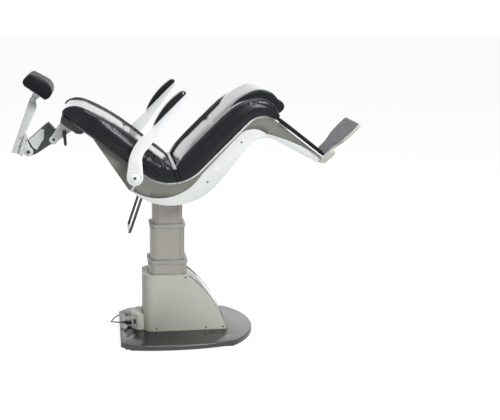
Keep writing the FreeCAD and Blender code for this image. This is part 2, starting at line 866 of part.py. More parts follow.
def build_upholstery():
    wide, inside = size("cushion_half"), size("cushion_half") - size("bolster_width")
    top = size("back_top")
    shoulder = [
        (inside, -200), (wide, -200), (wide, top - 205), via(wide - 23, top - 78),
        (inside + 5, top), (inside, top),
    ]
    bolster_pair("BackBolster", back_outline(1, 0), "back_bolster", shoulder)
    share = 1 - size("panel_set_back") / 115
    centre_panel("BackPanel", back_outline(share, size("panel_set_back")), "back_panel")

    rest = size("deck_sheet") / 2 + 0.3
    hip_z = size("seat_level") + size("hip_radius")
    knee_z = size("seat_level") - size("knee_radius")
    hip = size("hip_radius") - rest
    knee = size("knee_radius") + rest
    seat_top = size("seat_top")
    under = [
        over_hip(236.8, 0.3), via(*over_hip(255, 0.3)),
        (size("hip_x"), hip_z - hip), (size("knee_x"), knee_z + knee),
        via(*polar(size("knee_x"), knee_z, knee, 46)), polar(size("knee_x"), knee_z, knee, 9),
    ]
    bolster = under + [
        (500, -288), via(520, -212), (484, -137), via(417, -94), (326, seat_top), (30, seat_top),
        via(-26, seat_top - 3), (-68, seat_top - 10),
    ]
    bolster_pair("SeatBolster", bolster, "seat_bolster")
    low = seat_top - size("panel_set_back")
    centre = under + [
        (530, -294), via(552, -284), (556, -236), via(535, -138), (470, -96), via(410, -80),
        (320, low), (30, low), via(-20, low - 5), (-60, low - 14),
    ]
    centre_panel("SeatPanel", centre, "seat_panel")

    slope = math.radians(size("leg_slope"))
    leg_deck = deck_line(rest)
    start, end = leg_deck[5], leg_deck[6]
    down = ((end[0] - start[0]) / math.hypot(end[0] - start[0], end[1] - start[1]),
            (end[1] - start[1]) / math.hypot(end[0] - start[0], end[1] - start[1]))
    out = (math.cos(slope) * size("leg_pad"), math.sin(slope) * size("leg_pad"))
    first = (start[0] + down[0] * 12, start[1] + down[1] * 12)
    last = (end[0] - down[0] * 2, end[1] - down[1] * 2)
    profile = [
        first, (first[0] + out[0], first[1] + out[1]),
        (last[0] + out[0] - down[0] * 8, last[1] + out[1] - down[1] * 8), last,
    ]
    slab = prism("LegSlab", "side", [profile], "-deck_half - leg_pad_overhang",
                 "2 * (deck_half + leg_pad_overhang)")
    knee_half = size("deck_half") + size("leg_pad_overhang")
    end_half = size("deck_half") - size("leg_draw_in")
    foot = size("leg_end")
    waist = (knee_half + end_half) / 2 - 14
    middle = (knee_z + foot) / 2
    front = [
        (-knee_half, 0), (-knee_half, knee_z - 20), via(-waist, middle), (-end_half, foot - 1),
        (end_half, foot - 1), via(waist, middle), (knee_half, knee_z - 20), (knee_half, 0),
    ]
    trim = prism("LegTrim", "front", [front], "300", "400")
    node(shared([slab, trim]), "leg_pad", seat_frame)


# Arms, each a curved bar that flips up about a pivot on the back bracket

def build_arms():
    x, z = size("arm_pivot_x"), size("arm_pivot_z")
    disk = size("arm_disk")
    level = size("arm_top")
    outline = [
        (x + 467, level), (x + 175, level), via(x + 98, level - 8), (x + 30, z + 75),
        polar(x, z, disk, 126), via(*polar(x, z, disk, 225)), polar(x, z, disk, -38),
        (x + 88, z + 38), via(x + 116, z + 53), (x + 150, z + 56), (x + 460, level - 15),
        via(x + 473, level - 10),
    ]
    pad_low = level + size("arm_gap")
    pad = [
        (x + 247, pad_low), (x + 250, pad_low + 6), via(x + 370, pad_low + 34),
        (x + 462, pad_low + 28), via(x + 477, pad_low + 16), (x + 478, pad_low),
    ]
    bore = "12 + running"
    place = (str(x), "0", str(z))
    pivots = []
    for side, name in SIDES:
        bar_start = beside(side, "arm_half - arm_bar / 2", "arm_bar")
        bar = prism("ArmBar", "side", [outline], bar_start, "arm_bar")
        eye = rod(bore, "arm_bar + 2", (place[0], f"{bar_start} - 1", place[2]))
        node(less(bar, [eye]), f"arm_bar_{name}", seat_frame)

        pad_start = beside(side, "arm_half - arm_pad_width / 2", "arm_pad_width")
        cushion = prism("ArmPad", "side", [pad], pad_start, "arm_pad_width")
        node(cushion, f"arm_pad_{name}", seat_frame)

        hub_length = "arm_half - arm_bar / 2 - arm_gap - (side_half - side_sheet)"
        hub_start = beside(side, "side_half - side_sheet", hub_length)
        pin_length = "arm_half + arm_bar / 2 + arm_gap - (side_half - side_sheet)"
        pin_start = beside(side, "side_half - side_sheet", pin_length)
        cap_start = beside(side, "arm_half + arm_bar / 2 + arm_gap", "4")
        nut_start = beside(side, "arm_half + arm_bar / 2 + arm_gap + 4", "4")
        pivots.append(fused([
            rod("arm_hub", hub_length, (place[0], hub_start, place[2])),
            rod("12", pin_length, (place[0], pin_start, place[2])),
            rod("24", "4", (place[0], cap_start, place[2])),
            rod("9", "4", (place[0], nut_start, place[2])),
        ]))
    node(grouped(pivots), "arm_pivots", seat_frame)


# Footrest: bracket under the leg, folding tray and ribbed mat

def build_footrest():
    x, z = size("foot_pivot_x"), size("foot_pivot_z")
    end = size("leg_end")
    heel = deck_line(-size("deck_sheet") / 2)[6][0]
    tie_side = [(heel - 31, end + 42), (heel - 7, end + 42), (heel - 2, end + 1), (heel - 27, end + 1)]
    tie = prism("Tie", "side", [tie_side], "-side_half", "2 * side_half")
    inside = size("side_half") - size("side_sheet")
    wide = leg_bend(end + 60, inside)
    narrow = leg_bend(end, inside)
    between = prism("Between", "front",
                    [[(-wide, end + 60), (-narrow, end), (narrow, end), (wide, end + 60)]],
                    "400", "300")
    cheek = [
        (heel - 41, end + 50), (heel - 13, end + 50), (heel - 3, end - 4), (x - 8, z + 17),
        via(x + 17, z), (x, z - 17), (heel - 11, z - 12), (heel - 33, end - 4),
    ]
    cheek_inner = "foot_neck_half + arm_gap"
    parts = [shared([tie, between])]
    for side, _ in SIDES:
        parts.append(prism("FootCheek", "side", [cheek], beside(side, cheek_inner, "side_sheet"),
                           "side_sheet"))
        pin_length = "side_sheet + 20"
        parts.append(rod("foot_pin", pin_length,
                         (str(x), beside(side, "foot_neck_half - 18", pin_length), str(z))))
    node(fused(parts), "footrest_bracket", seat_frame)

    neck, wide_half = size("foot_neck_half"), size("foot_front_half")
    back_edge = x - 44
    toe = x + 211
    half_outline = [(back_edge, -neck), (x + 30, -neck), via(x + 55, -neck - 14), (x + 84, -wide_half + 8),
                    via(x + 130, -wide_half), (toe - 20, -wide_half), via(toe - 6, -wide_half + 6),
                    (toe, -wide_half + 20)]
    mirrored = [point[:-1] + (-point[-1],) for point in half_outline[::-1]]
    outline = half_outline + mirrored
    tray = prism("Tray", "plan", [outline], "foot_top - foot_tray", "foot_tray")
    lugs = []
    eyes = []
    for side, _ in SIDES:
        lug_start = beside(side, "foot_neck_half - 10", "10")
        lugs.append(rod("13", "10", (str(x), lug_start, str(z))))
        lugs.append(block("26", "10", "foot_top - foot_tray - foot_pivot_z + 1",
                          (str(x - 13), lug_start, "foot_pivot_z")))
        eyes.append(rod("foot_pin + running", "30", (str(x), beside(side, "foot_neck_half - 20", "30"),
                                                     str(z))))
    node(less(fused([tray] + lugs), eyes), "footrest_tray", seat_frame)

    inner = [(back_edge + 5, -neck + 5), (x + 28, -neck + 5), via(x + 52, -neck - 9),
             (x + 86, -wide_half + 13),
             via(x + 130, -wide_half + 5), (toe - 22, -wide_half + 5), via(toe - 10, -wide_half + 10),
             (toe - 5, -wide_half + 22)]
    inner_far = [point[:-1] + (-point[-1],) for point in inner[::-1]]
    mat = prism("Mat", "plan", [inner + inner_far], "foot_top", "foot_mat")
    node(mat, "footrest_mat", seat_frame)


# Headrest: block on the back, carriage, link, stem and tilting pad

def build_headrest():
    pan = size("back_pan")
    depth = size("rail_block_depth")
    gap = size("slide_gap")
    low, high = 350, 470
    block_side = [
        (back_x(500, pan), 500), (back_x(high, depth), high), (back_x(low + 20, depth), low + 20),
        (back_x(low, depth - 14), low), (back_x(low - 6, pan), low - 6),
    ]
    slot_side = [
        (back_x(560, depth - 22), 560), (back_x(560, depth + 30), 560),
        (back_x(300, depth + 30), 300), (back_x(300, depth - 22), 300),
    ]
    wedge = prism("Wedge", "side", [block_side], "-55", "110")
    slot = prism("Slot", "side", [slot_side], "-16", "32")
    node(less(wedge, [slot]), "headrest_block", seat_frame)

    sx, sz = size("shoulder_x"), size("shoulder_z")
    ex, ez = size("elbow_x"), size("elbow_z")
    nx, nz = size("nod_x"), size("nod_z")
    half = size("link_half")
    arm_low, arm_high = 396, 466
    tongue_side = [
        (back_x(arm_high, depth - 20), arm_high), (back_x(arm_high, depth + 4), arm_high),
        (back_x(arm_low, depth + 4), arm_low), (back_x(arm_low, depth - 20), arm_low),
    ]
    plate_side = [
        (back_x(arm_high, depth + gap), arm_high), (back_x(arm_high, depth + 10), arm_high),
        (back_x(arm_low, depth + 10), arm_low), (back_x(arm_low, depth + gap), arm_low),
    ]
    crank_side = [
        (back_x(arm_high, depth + gap), arm_high), polar(sx, sz, 20, 76),
        via(*polar(sx, sz, 20, 180)), polar(sx, sz, 20, 284), (back_x(arm_low, depth + gap), arm_low),
    ]
    outer_half = half + gap
    cranks = [
        prism("Tongue", "side", [tongue_side], f"-16 + {gap}", f"32 - 2 * {gap}"),
        prism("CarriagePlate", "side", [plate_side], f"-{outer_half + 10}", f"{2 * (outer_half + 10)}"),
    ]
    for side, _ in SIDES:
        cranks.append(prism("Crank", "side", [crank_side], beside(side, str(outer_half), "10"), "10"))
    bolt_length = str(2 * (outer_half + 14))
    cranks.append(rod("joint_bolt", bolt_length, (str(sx), f"-{outer_half + 14}", str(sz))))
    node(fused(cranks), "headrest_carriage", seat_frame)

    link_side = [
        (-374, 512), (-392, 516), (-508, 522), polar(ex, ez, 26, 85), via(*polar(ex, ez, 26, 180)),
        polar(ex, ez, 26, 262), (-533, 441), (-450, 424), polar(sx, sz, 23, 235),
        via(*polar(sx, sz, 23, 285)), polar(sx, sz, 23, 340), (-376, 452),
    ]
    link = prism("Link", "side", [link_side], f"-{half}", f"{2 * half}")
    eyes = [rod("joint_bolt + running", f"{2 * half + 2}", (str(px), f"-{half + 1}", str(pz)))
            for px, pz in ((sx, sz), (ex, ez))]
    node(less(link, eyes), "headrest_link", seat_frame)

    seat_line = [(-503, 554.5), (-602, 504.5)]
    ear_side = [
        polar(ex, ez, 25, 20), seat_line[0], seat_line[1], polar(ex, ez, 25, 165),
        via(*polar(ex, ez, 25, 270)),
    ]
    web_side = [
        seat_line[0], seat_line[1], (seat_line[1][0] + 4, seat_line[1][1] - 7),
        (seat_line[0][0] + 4, seat_line[0][1] - 7),
    ]
    ears = [prism("ClevisWeb", "side", [web_side], f"-{outer_half + 8}", f"{2 * (outer_half + 8)}")]
    for side, _ in SIDES:
        ears.append(prism("ClevisEar", "side", [ear_side], beside(side, str(outer_half), "8"), "8"))
    ears.append(rod("joint_bolt", str(2 * (outer_half + 12)), (str(ex), f"-{outer_half + 12}", str(ez))))
    node(fused(ears), "headrest_clevis", seat_frame)

    stem_side = [
        seat_line[1], (-624, 537), (nx - 22, nz + 7), polar(nx, nz, 14, 100),
        via(*polar(nx, nz, 14, 10)), polar(nx, nz, 14, -70), (nx - 20, nz - 45), seat_line[0],
    ]
    stem = prism("Stem", "side", [stem_side], "-stem_half", "2 * stem_half")
    eye = rod("5 + running", "2 * stem_half + 2", (str(nx), "-stem_half - 1", str(nz)))
    node(less(stem, [eye]), "headrest_stem", seat_frame)

    plate_top, plate_foot = (nx + 31, nz + 83), (nx + 54, nz - 46)
    plate_side = [plate_top, plate_foot, (plate_foot[0] - 3, plate_foot[1] - 0.5),
                  (plate_top[0] - 3, plate_top[1] - 0.5)]
    post_side = [
        polar(nx, nz, 13, 80), via(*polar(nx, nz, 13, 180)), polar(nx, nz, 13, 280),
        (nx + 47, nz - 21), (nx + 38, nz + 29),
    ]
    carriers = [prism("BackPlate", "side", [plate_side], "-head_pad_half + 12", "2 * head_pad_half - 24")]
    for side, _ in SIDES:
        carriers.append(prism("Post", "side", [post_side], beside(side, "stem_half + arm_gap", "8"), "8"))
    carriers.append(rod("5", "2 * stem_half + 32", (str(nx), "-stem_half - 16", str(nz))))
    for side, _ in SIDES:
        carriers.append(rod("12", "14", (str(nx), beside(side, "stem_half + arm_gap + 8", "14"), str(nz))))
    node(fused(carriers), "headrest_back_plate", seat_frame)

    lift = 0.4
    pad_side = [
        (plate_top[0] + lift, plate_top[1] + 4), via(nx + 40, nz + 101), (nx + 58, nz + 105),
        (nx + 84, nz + 103), via(nx + 98, nz + 97), (nx + 103, nz + 87), (nx + 119, nz + 30),
        via(nx + 123, nz - 15), (nx + 106, nz - 44), via(nx + 84, nz - 52), (nx + 65, nz - 53),
        (plate_foot[0] + lift, plate_foot[1]),
    ]
    node(prism("HeadPad", "side", [pad_side], "-head_pad_half", "2 * head_pad_half"), "headrest_pad",
         seat_frame)

    px, pz = -352, 420
    tail_x, tail_z = px - 42, pz - 50
    reach = math.degrees(math.atan2(tail_z - pz, tail_x - px))
    lever_side = [
        polar(px, pz, 10, reach + 90), via(*polar(px, pz, 10, reach + 180)), polar(px, pz, 10, reach - 90),
        polar(tail_x, tail_z, 7, reach - 90), via(*polar(tail_x, tail_z, 7, reach)),
        polar(tail_x, tail_z, 7, reach + 90),
    ]
    lever = prism("Lever", "side", [lever_side], beside(-1, str(outer_half + 10 + gap), "10"), "10")
    node(lever, "headrest_lever", seat_frame)


# Mains lead from the inlet to a coil on the floor behind the pedestal

LEAD_RADIUS = 3.5
LEAD_ROUTE = [
    (-246, 0, 56), (-264, 0, 56), (-281, 6, 55.5), (-294, 19, 52.5), (-302, 37, 47), (-306, 58, 39),
    (-307, 82, 29.5), (-306, 110, 19.5), (-303, 142, 11), (-297, 176, 5.6), (-285, 211, 3.9),
    (-266, 244, 3.7), (-240, 273, 3.7), (-208, 297, 3.7), (-171, 314, 3.7), (-131, 325, 3.7),
    (-88, 330.5, 3.7), (-44, 332.8, 3.7), (0, 333.4, 3.7), (40, 333, 3.7), (74, 332, 3.7),
]
COIL_X, COIL_Y = 96, 378
COIL_OUTER, COIL_INNER, COIL_HEIGHT = 50, 28, 21.6
PLUG_LEVEL = 18.3
PLUG_RADIUS = 18


def lead_path(points):
    """Straight runs joined by arcs as large as the runs allow, with the radii."""
    route = [Vector(*point) for point in points]
    edges = []
    radii = []
    start = route[0]
    for before, corner, after in zip(route, route[1:], route[2:]):
        incoming = (before - corner).normalize()
        outgoing = (after - corner).normalize()
        half_turn = (math.pi - incoming.getAngle(outgoing)) / 2
        reach = 0.45 * min((before - corner).Length, (after - corner).Length)
        radius = reach / math.tan(half_turn)
        first = corner + incoming * reach
        last = corner + outgoing * reach
        inward = (incoming + outgoing).normalize()
        centre = corner + inward * math.hypot(radius, reach)
        middle = centre - inward * radius
        edges.append(Part.LineSegment(start, first).toShape())
        edges.append(Part.Arc(first, middle, last).toShape())
        radii.append(round(radius))
        start = last
    edges.append(Part.LineSegment(start, route[-1]).toShape())
    return Part.Wire(edges), radii


def build_lead():
    start = LEAD_ROUTE[0]
    body_x = INLET_REAR - 34
    connector = fused([
        block("34", "27", "21", (str(body_x), "-13.5", str(SOCKET_LEVEL - 10))),
        block("12", "23", "16", (str(INLET_REAR), "-11.5", str(SOCKET_LEVEL - 7.5))),
        rod("6.5", str(body_x - start[0]), (str(start[0]), "0", str(SOCKET_LEVEL)), "x"),
    ])
    node(connector, "mains_connector", floor_frame)

    path, radii = lead_path(LEAD_ROUTE)
    heading = Vector(*LEAD_ROUTE[1]) - Vector(*start)
    ring = Part.Wire(Part.Circle(Vector(*start), heading, LEAD_RADIUS).toShape())
    tube_shape = path.makePipeShell([ring], True, False, 2)
    print("lead radii", radii, "length", round(path.Length),
          "volume share", round(tube_shape.Volume / (math.pi * LEAD_RADIUS ** 2 * path.Length), 4))
    lead = doc.addObject("Part::Feature", "Lead")
    lead.Shape = tube_shape
    node(lead, "mains_lead", floor_frame)

    ring_outer = rod(str(COIL_OUTER), str(COIL_HEIGHT), (str(COIL_X), str(COIL_Y), "0.2"), "z")
    ring_inner = rod(str(COIL_INNER), str(COIL_HEIGHT + 2), (str(COIL_X), str(COIL_Y), "-1"), "z")
    node(less(ring_outer, [ring_inner]), "lead_coil", floor_frame)

    plug_y = COIL_Y + COIL_OUTER - LEAD_RADIUS
    relief_x = COIL_X - COIL_OUTER
    body_x = relief_x - 26
    pin_x = body_x - 19
    plug = fused([
        rod("6", "28", (str(relief_x), str(plug_y), str(PLUG_LEVEL)), "x"),
        rod(str(PLUG_RADIUS), "26", (str(body_x), str(plug_y), str(PLUG_LEVEL)), "x"),
        rod("2.4", "20", (str(pin_x), str(plug_y - 9.5), str(PLUG_LEVEL)), "x"),
        rod("2.4", "20", (str(pin_x), str(plug_y + 9.5), str(PLUG_LEVEL)), "x"),
    ])
    node(plug, "mains_plug", floor_frame)


def build():
    build_floor_plate()
    build_pedestal()
    build_inlet()
    build_column()
    build_head()
    build_handle()
    build_deck()
    build_side_plates()
    build_plate_screws()
    build_flares()
    build_tilt_rails()
    build_back_frame()
    build_upholstery()
    build_arms()
    build_footrest()
    build_headrest()
    build_lead()


build()
doc.recompute()

faults = []
for item in doc.Objects:
    if "Invalid" in item.State or "Error" in item.State:
        faults.append(f"{item.Name} {item.Label}: {item.State}")
for piece in nodes:
    if piece.Shape.isNull() or not piece.Shape.isValid() or piece.Shape.Volume <= 0:
        faults.append(f"{piece.Label}: shape is not valid")
if faults:
    raise RuntimeError("\n".join(faults))

for piece in nodes:
    piece.Shape.exportStep(f"parts/{piece.Label}.step")
print(len(nodes), "pieces written")
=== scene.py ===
# %% [markdown]
# # An examination chair on a lifting pedestal
#
# The chair is shown tilted right back, with its column nearly up. The measured frame of the chair is
# loaded first and never moved: every piece made below goes where the frame says, in metres, and
# rides on one of its bodies, so that the column, the seat, the arms and the headrest still move.

# %% Load the measured frame
import json
import math
import bmesh
import bpy
from mathutils import Matrix, Vector
from mathutils.bvhtree import BVHTree
from mathutils.kdtree import KDTree


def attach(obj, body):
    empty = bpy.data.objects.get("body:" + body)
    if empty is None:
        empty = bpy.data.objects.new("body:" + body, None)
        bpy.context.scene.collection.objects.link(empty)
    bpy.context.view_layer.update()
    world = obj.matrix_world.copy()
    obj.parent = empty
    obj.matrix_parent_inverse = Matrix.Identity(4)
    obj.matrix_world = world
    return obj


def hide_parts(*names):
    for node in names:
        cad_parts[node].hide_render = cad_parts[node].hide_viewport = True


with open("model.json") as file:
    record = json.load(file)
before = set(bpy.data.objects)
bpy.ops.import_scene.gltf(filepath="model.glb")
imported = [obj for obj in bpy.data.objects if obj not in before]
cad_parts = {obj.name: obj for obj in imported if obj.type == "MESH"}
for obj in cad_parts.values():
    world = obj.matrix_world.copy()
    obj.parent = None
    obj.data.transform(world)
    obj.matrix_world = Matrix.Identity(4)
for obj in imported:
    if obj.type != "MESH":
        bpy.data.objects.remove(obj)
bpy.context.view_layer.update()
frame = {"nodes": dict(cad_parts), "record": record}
NODES = frame["nodes"]
BODY_OF = {name: body for body, names in frame["record"]["behaviour"]["bodies"].items() for name in names}
SLOT_OF = {name: node.data.materials[0].name for name, node in NODES.items() if node.data.materials}

# %% [markdown]
# ## Camera
#
# The view is from the patient's right, a little above the seat and about 4.5 m away. The camera's
# place and turns were worked out from measured points of the chair. A small shift frames the chair as
# the picture does, and depth of field stays off.

# %% Place the camera
CAMERA_PLACE = Vector((-0.34399, -4.47566, 1.80294))
CAMERA_YAW, CAMERA_PITCH, CAMERA_ROLL = (math.radians(a) for a in (7.3503, 10.6222, 0.4427))

camera_data = bpy.data.cameras.new("view_camera")
camera_data.sensor_width = 36
camera_data.lens = 61.4326
camera_data.shift_x = 0.08
camera_data.shift_y = -0.1
camera = bpy.data.objects.new("view_camera", camera_data)
bpy.context.scene.collection.objects.link(camera)
turn = Matrix.Rotation(-CAMERA_YAW, 4, "Z") @ Matrix.Rotation(math.radians(90) - CAMERA_PITCH, 4, "X")
camera.matrix_world = Matrix.Translation(CAMERA_PLACE) @ turn @ Matrix.Rotation(CAMERA_ROLL, 4, "Z")
bpy.context.scene.camera = camera
print("camera looks along", [round(v, 4) for v in -camera.matrix_world.col[2].xyz])

# %% [markdown]
# ## Helpers for finishes
#
# Every finish is a Principled shader fed by a few effects that several finishes share. Each effect is a
# node group with named inputs: it only puts out values that vary over the surface, and each finish
# decides what they do. Object coordinates keep a pattern fixed to the chair as it moves.

# %% Build shared shader effects
def new_effect(name, inputs, outputs):
    """An empty shader node group and a helper that adds and feeds its nodes."""
    tree = bpy.data.node_groups.new(name, "ShaderNodeTree")
    for label, value in inputs.items():
        tree.interface.new_socket(label, in_out="INPUT", socket_type="NodeSocketFloat").default_value = value
    for label in outputs:
        tree.interface.new_socket(label, in_out="OUTPUT", socket_type="NodeSocketFloat")
    return tree, tree.nodes.new("NodeGroupInput"), tree.nodes.new("NodeGroupOutput")


def add_node(tree, kind, settings=None, **feeds):
    """One node, its settings, and what feeds its sockets: a socket or a number. i2 is input number 2."""
    made = tree.nodes.new(kind)
    for label, value in (settings or {}).items():
        setattr(made, label, value)
    for label, source in feeds.items():
        numbered = label[0] == "i" and label[1:].isdigit()
        socket = made.inputs[int(label[1:]) if numbered else label]
        if isinstance(source, bpy.types.NodeSocket):
            tree.links.new(source, socket)
        else:
            socket.default_value = source
    return made


def math_node(tree, operation, first, second=0.0, clamp=False):
    settings = {"operation": operation, "use_clamp": clamp}
    return add_node(tree, "ShaderNodeMath", settings, i0=first, i1=second).outputs[0]


def ramp(tree, value, start, end, low=0.0, high=1.0):
    """Spreads the values between start and end over low to high."""
    spread = add_node(tree, "ShaderNodeMapRange", Value=value, i1=start, i2=end, i3=low, i4=high)
    return spread.outputs["Result"]


def mix_colours(tree, share, first, second, blend="MIX"):
    settings = {"data_type": "RGBA", "blend_type": blend}
    return add_node(tree, "ShaderNodeMix", settings, Factor=share, i6=first, i7=second).outputs[2]


def mix_values(tree, share, first, second):
    return add_node(tree, "ShaderNodeMix", {"data_type": "FLOAT"}, Factor=share, A=first, B=second).outputs[0]


def object_place(tree):
    return add_node(tree, "ShaderNodeTexCoord").outputs["Object"]


def build_tone():
    """Broad and fine patches, for slight changes of colour and gloss."""
    tree, given, out = new_effect("patchy_tone", {"Scale": 6.0, "Fine": 0.3}, ["Tone"])
    place = object_place(tree)
    broad = add_node(tree, "ShaderNodeTexNoise", Vector=place, Scale=given.outputs["Scale"], Detail=4.0)
    fine_scale = math_node(tree, "MULTIPLY", given.outputs["Scale"], 14.0)
    fine = add_node(tree, "ShaderNodeTexNoise", Vector=place, Scale=fine_scale, Detail=3.0)
    mixed = mix_values(tree, given.outputs["Fine"], broad.outputs["Fac"], fine.outputs["Fac"])
    tree.links.new(mixed, out.inputs["Tone"])
    return tree


def build_grain():
    """Small pebbled relief, as on powder coat, moulded plastic or leathercloth."""
    tree, given, out = new_effect("pebble_grain", {"Scale": 400.0, "Softness": 0.5}, ["Height"])
    place = object_place(tree)
    cells = add_node(tree, "ShaderNodeTexVoronoi", {"feature": "SMOOTH_F1"}, Vector=place,
                     Scale=given.outputs["Scale"], Smoothness=given.outputs["Softness"])
    speckle_scale = math_node(tree, "MULTIPLY", given.outputs["Scale"], 0.45)
    speckle = add_node(tree, "ShaderNodeTexNoise", Vector=place, Scale=speckle_scale, Detail=4.0)
    height = math_node(tree, "ADD", cells.outputs["Distance"], speckle.outputs["Fac"])
    tree.links.new(height, out.inputs["Height"])
    return tree


EDGE_MARK_BAND = 0.0015
EDGE_MARK_FROM, EDGE_MARK_FULLY = 0.995, 0.9
EDGE_MARK_PATCHES = (0.42, 0.62)


def build_wear_and_highlight():
    """Worn or polished places within a millimetre or two of an edge, and the floor plate's painted highlight
    line.
    """
    tree, given, out = new_effect("edge_wear_and_highlight", {"Amount": 0.5}, ["Mask"])
    rounded_off = add_node(tree, "ShaderNodeBevel", {"samples": 4}, Radius=EDGE_MARK_BAND).outputs["Normal"]
    facing = add_node(tree, "ShaderNodeNewGeometry").outputs["Normal"]
    agree = add_node(tree, "ShaderNodeVectorMath", {"operation": "DOT_PRODUCT"}, i0=rounded_off, i1=facing)
    place = object_place(tree)
    edge = ramp(tree, agree.outputs["Value"], EDGE_MARK_FROM, EDGE_MARK_FULLY)
    broken = add_node(tree, "ShaderNodeTexNoise", Vector=place, Scale=55.0, Detail=5.0)
    marked_edge = math_node(tree, "MULTIPLY", edge, ramp(tree, broken.outputs["Fac"], *EDGE_MARK_PATCHES))
    tree.links.new(math_node(tree, "MULTIPLY", marked_edge, given.outputs["Amount"], True), out.inputs["Mask"])
    return tree


FACING_UP = (0.5, 1.0)
DUST_PATCHES = (0.35, 0.75)


def build_dust():
    """A thin film of dust on what faces up."""
    tree, given, out = new_effect("settled_dust", {"Amount": 0.2}, ["Mask"])
    normal = add_node(tree, "ShaderNodeNewGeometry").outputs["Normal"]
    facing = add_node(tree, "ShaderNodeSeparateXYZ", Vector=normal)
    place = object_place(tree)
    cloud = add_node(tree, "ShaderNodeTexNoise", Vector=place, Scale=9.0, Detail=7.0)
    patch = ramp(tree, cloud.outputs["Fac"], *DUST_PATCHES)
    film = math_node(tree, "MULTIPLY", ramp(tree, facing.outputs["Z"], *FACING_UP), patch)
    tree.links.new(math_node(tree, "MULTIPLY", film, given.outputs["Amount"], True), out.inputs["Mask"])
    return tree


def build_streaks():
    """Fine lines along one direction, as brushing or drawing leaves them."""
    inputs = {"Scale": 260.0, "Along X": 1.0, "Along Z": 0.015}
    tree, given, out = new_effect("brushed_lines", inputs, ["Line"])
    place = object_place(tree)
    stretch = add_node(tree, "ShaderNodeCombineXYZ", X=given.outputs["Along X"], Y=1.0,
                       Z=given.outputs["Along Z"])
    drawn = add_node(tree, "ShaderNodeVectorMath", {"operation": "MULTIPLY"}, i0=place, i1=stretch.outputs[0])
    lines = add_node(tree, "ShaderNodeTexNoise", Vector=drawn.outputs[0], Scale=given.outputs["Scale"],
                     Detail=3.0)
    tree.links.new(lines.outputs["Fac"], out.inputs["Line"])
    return tree


def build_creases():
    """Soft wandering wrinkles of leathercloth over foam."""
    tree, given, out = new_effect("soft_creases", {"Scale": 9.0, "Wander": 0.06}, ["Height"])
    place = object_place(tree)
    push = add_node(tree, "ShaderNodeTexNoise", Vector=place, Scale=7.0, Detail=3.0)
    wander = add_node(tree, "ShaderNodeVectorMath", {"operation": "SCALE"}, i0=push.outputs["Color"],
                      Scale=given.outputs["Wander"])
    moved = add_node(tree, "ShaderNodeVectorMath", {"operation": "ADD"}, i0=place, i1=wander.outputs[0])
    folds = add_node(tree, "ShaderNodeTexVoronoi", {"feature": "SMOOTH_F1"}, Vector=moved.outputs[0],
                     Scale=given.outputs["Scale"], Smoothness=0.8)
    broad = add_node(tree, "ShaderNodeTexNoise", Vector=moved.outputs[0], Scale=given.outputs["Scale"],
                     Detail=5.0)
    height = math_node(tree, "ADD", folds.outputs["Distance"], broad.outputs["Fac"])
    tree.links.new(height, out.inputs["Height"])
    return tree


RECLINE_ANGLE = math.radians(45)


def build_weave():
    """Crossed ribs of a woven mat that lies in the leaned-back seat's own directions."""
    tree, given, out = new_effect("woven_ribs", {"Scale": 60.0}, ["Height"])
    place = object_place(tree)
    level = add_node(tree, "ShaderNodeVectorRotate", {"rotation_type": "Y_AXIS"}, Vector=place,
                     Angle=RECLINE_ANGLE)
    ribs = []
    for way, share in (("X", 1.0), ("Y", 0.55)):
        scale = math_node(tree, "MULTIPLY", given.outputs["Scale"], share)
        ribs.append(add_node(tree, "ShaderNodeTexWave", {"bands_direction": way}, Vector=level.outputs[0],
                             Scale=scale, Distortion=0.6).outputs["Fac"])
    tree.links.new(math_node(tree, "MULTIPLY", *ribs), out.inputs["Height"])
    return tree


EFFECTS = {"tone": build_tone(), "grain": build_grain(), "wear_and_highlight": build_wear_and_highlight(), "dust": build_dust(),
           "streaks": build_streaks(), "creases": build_creases(), "weave": build_weave()}
print("shared effects:", sorted(EFFECTS))

# %% [markdown]
# ## Finishes
#
# The real chair has powder-coated steel in warm grey, pale and white, satin aluminium on the column,
# gloss black on the pedestal's front and floor plate, black leathercloth on the cushions and a ribbed
# grey mat on the footrest. One function builds them all: what differs is how much of each effect goes in.
# The floor plate's pale edge line is a painted highlight.
# The skirts and back brackets get a darker copy of the warm grey, which is painted shade.

# %% Build the finishes
NOISE_SPAN = (0.3, 0.7)
STREAK_SHADES = (0.93, 1.05)
DUST_COLOUR = (0.4, 0.39, 0.37, 1)
DUST_ROUGHNESS = 0.75
COAT_ROUGHNESS = 0.06
SLANT_COAT_IOR = 2.0
SLANT_SPAN = (0.55, 0.9)
SLANT_COAT_MOST = 0.55
BUMP_STRENGTH = 0.6


def effect(tree, name, **feeds):
    made = tree.nodes.new("ShaderNodeGroup")
    made.node_tree = EFFECTS[name]
    for label, value in feeds.items():
        made.inputs[label.replace("_", " ")].default_value = value
    return made.outputs[0]


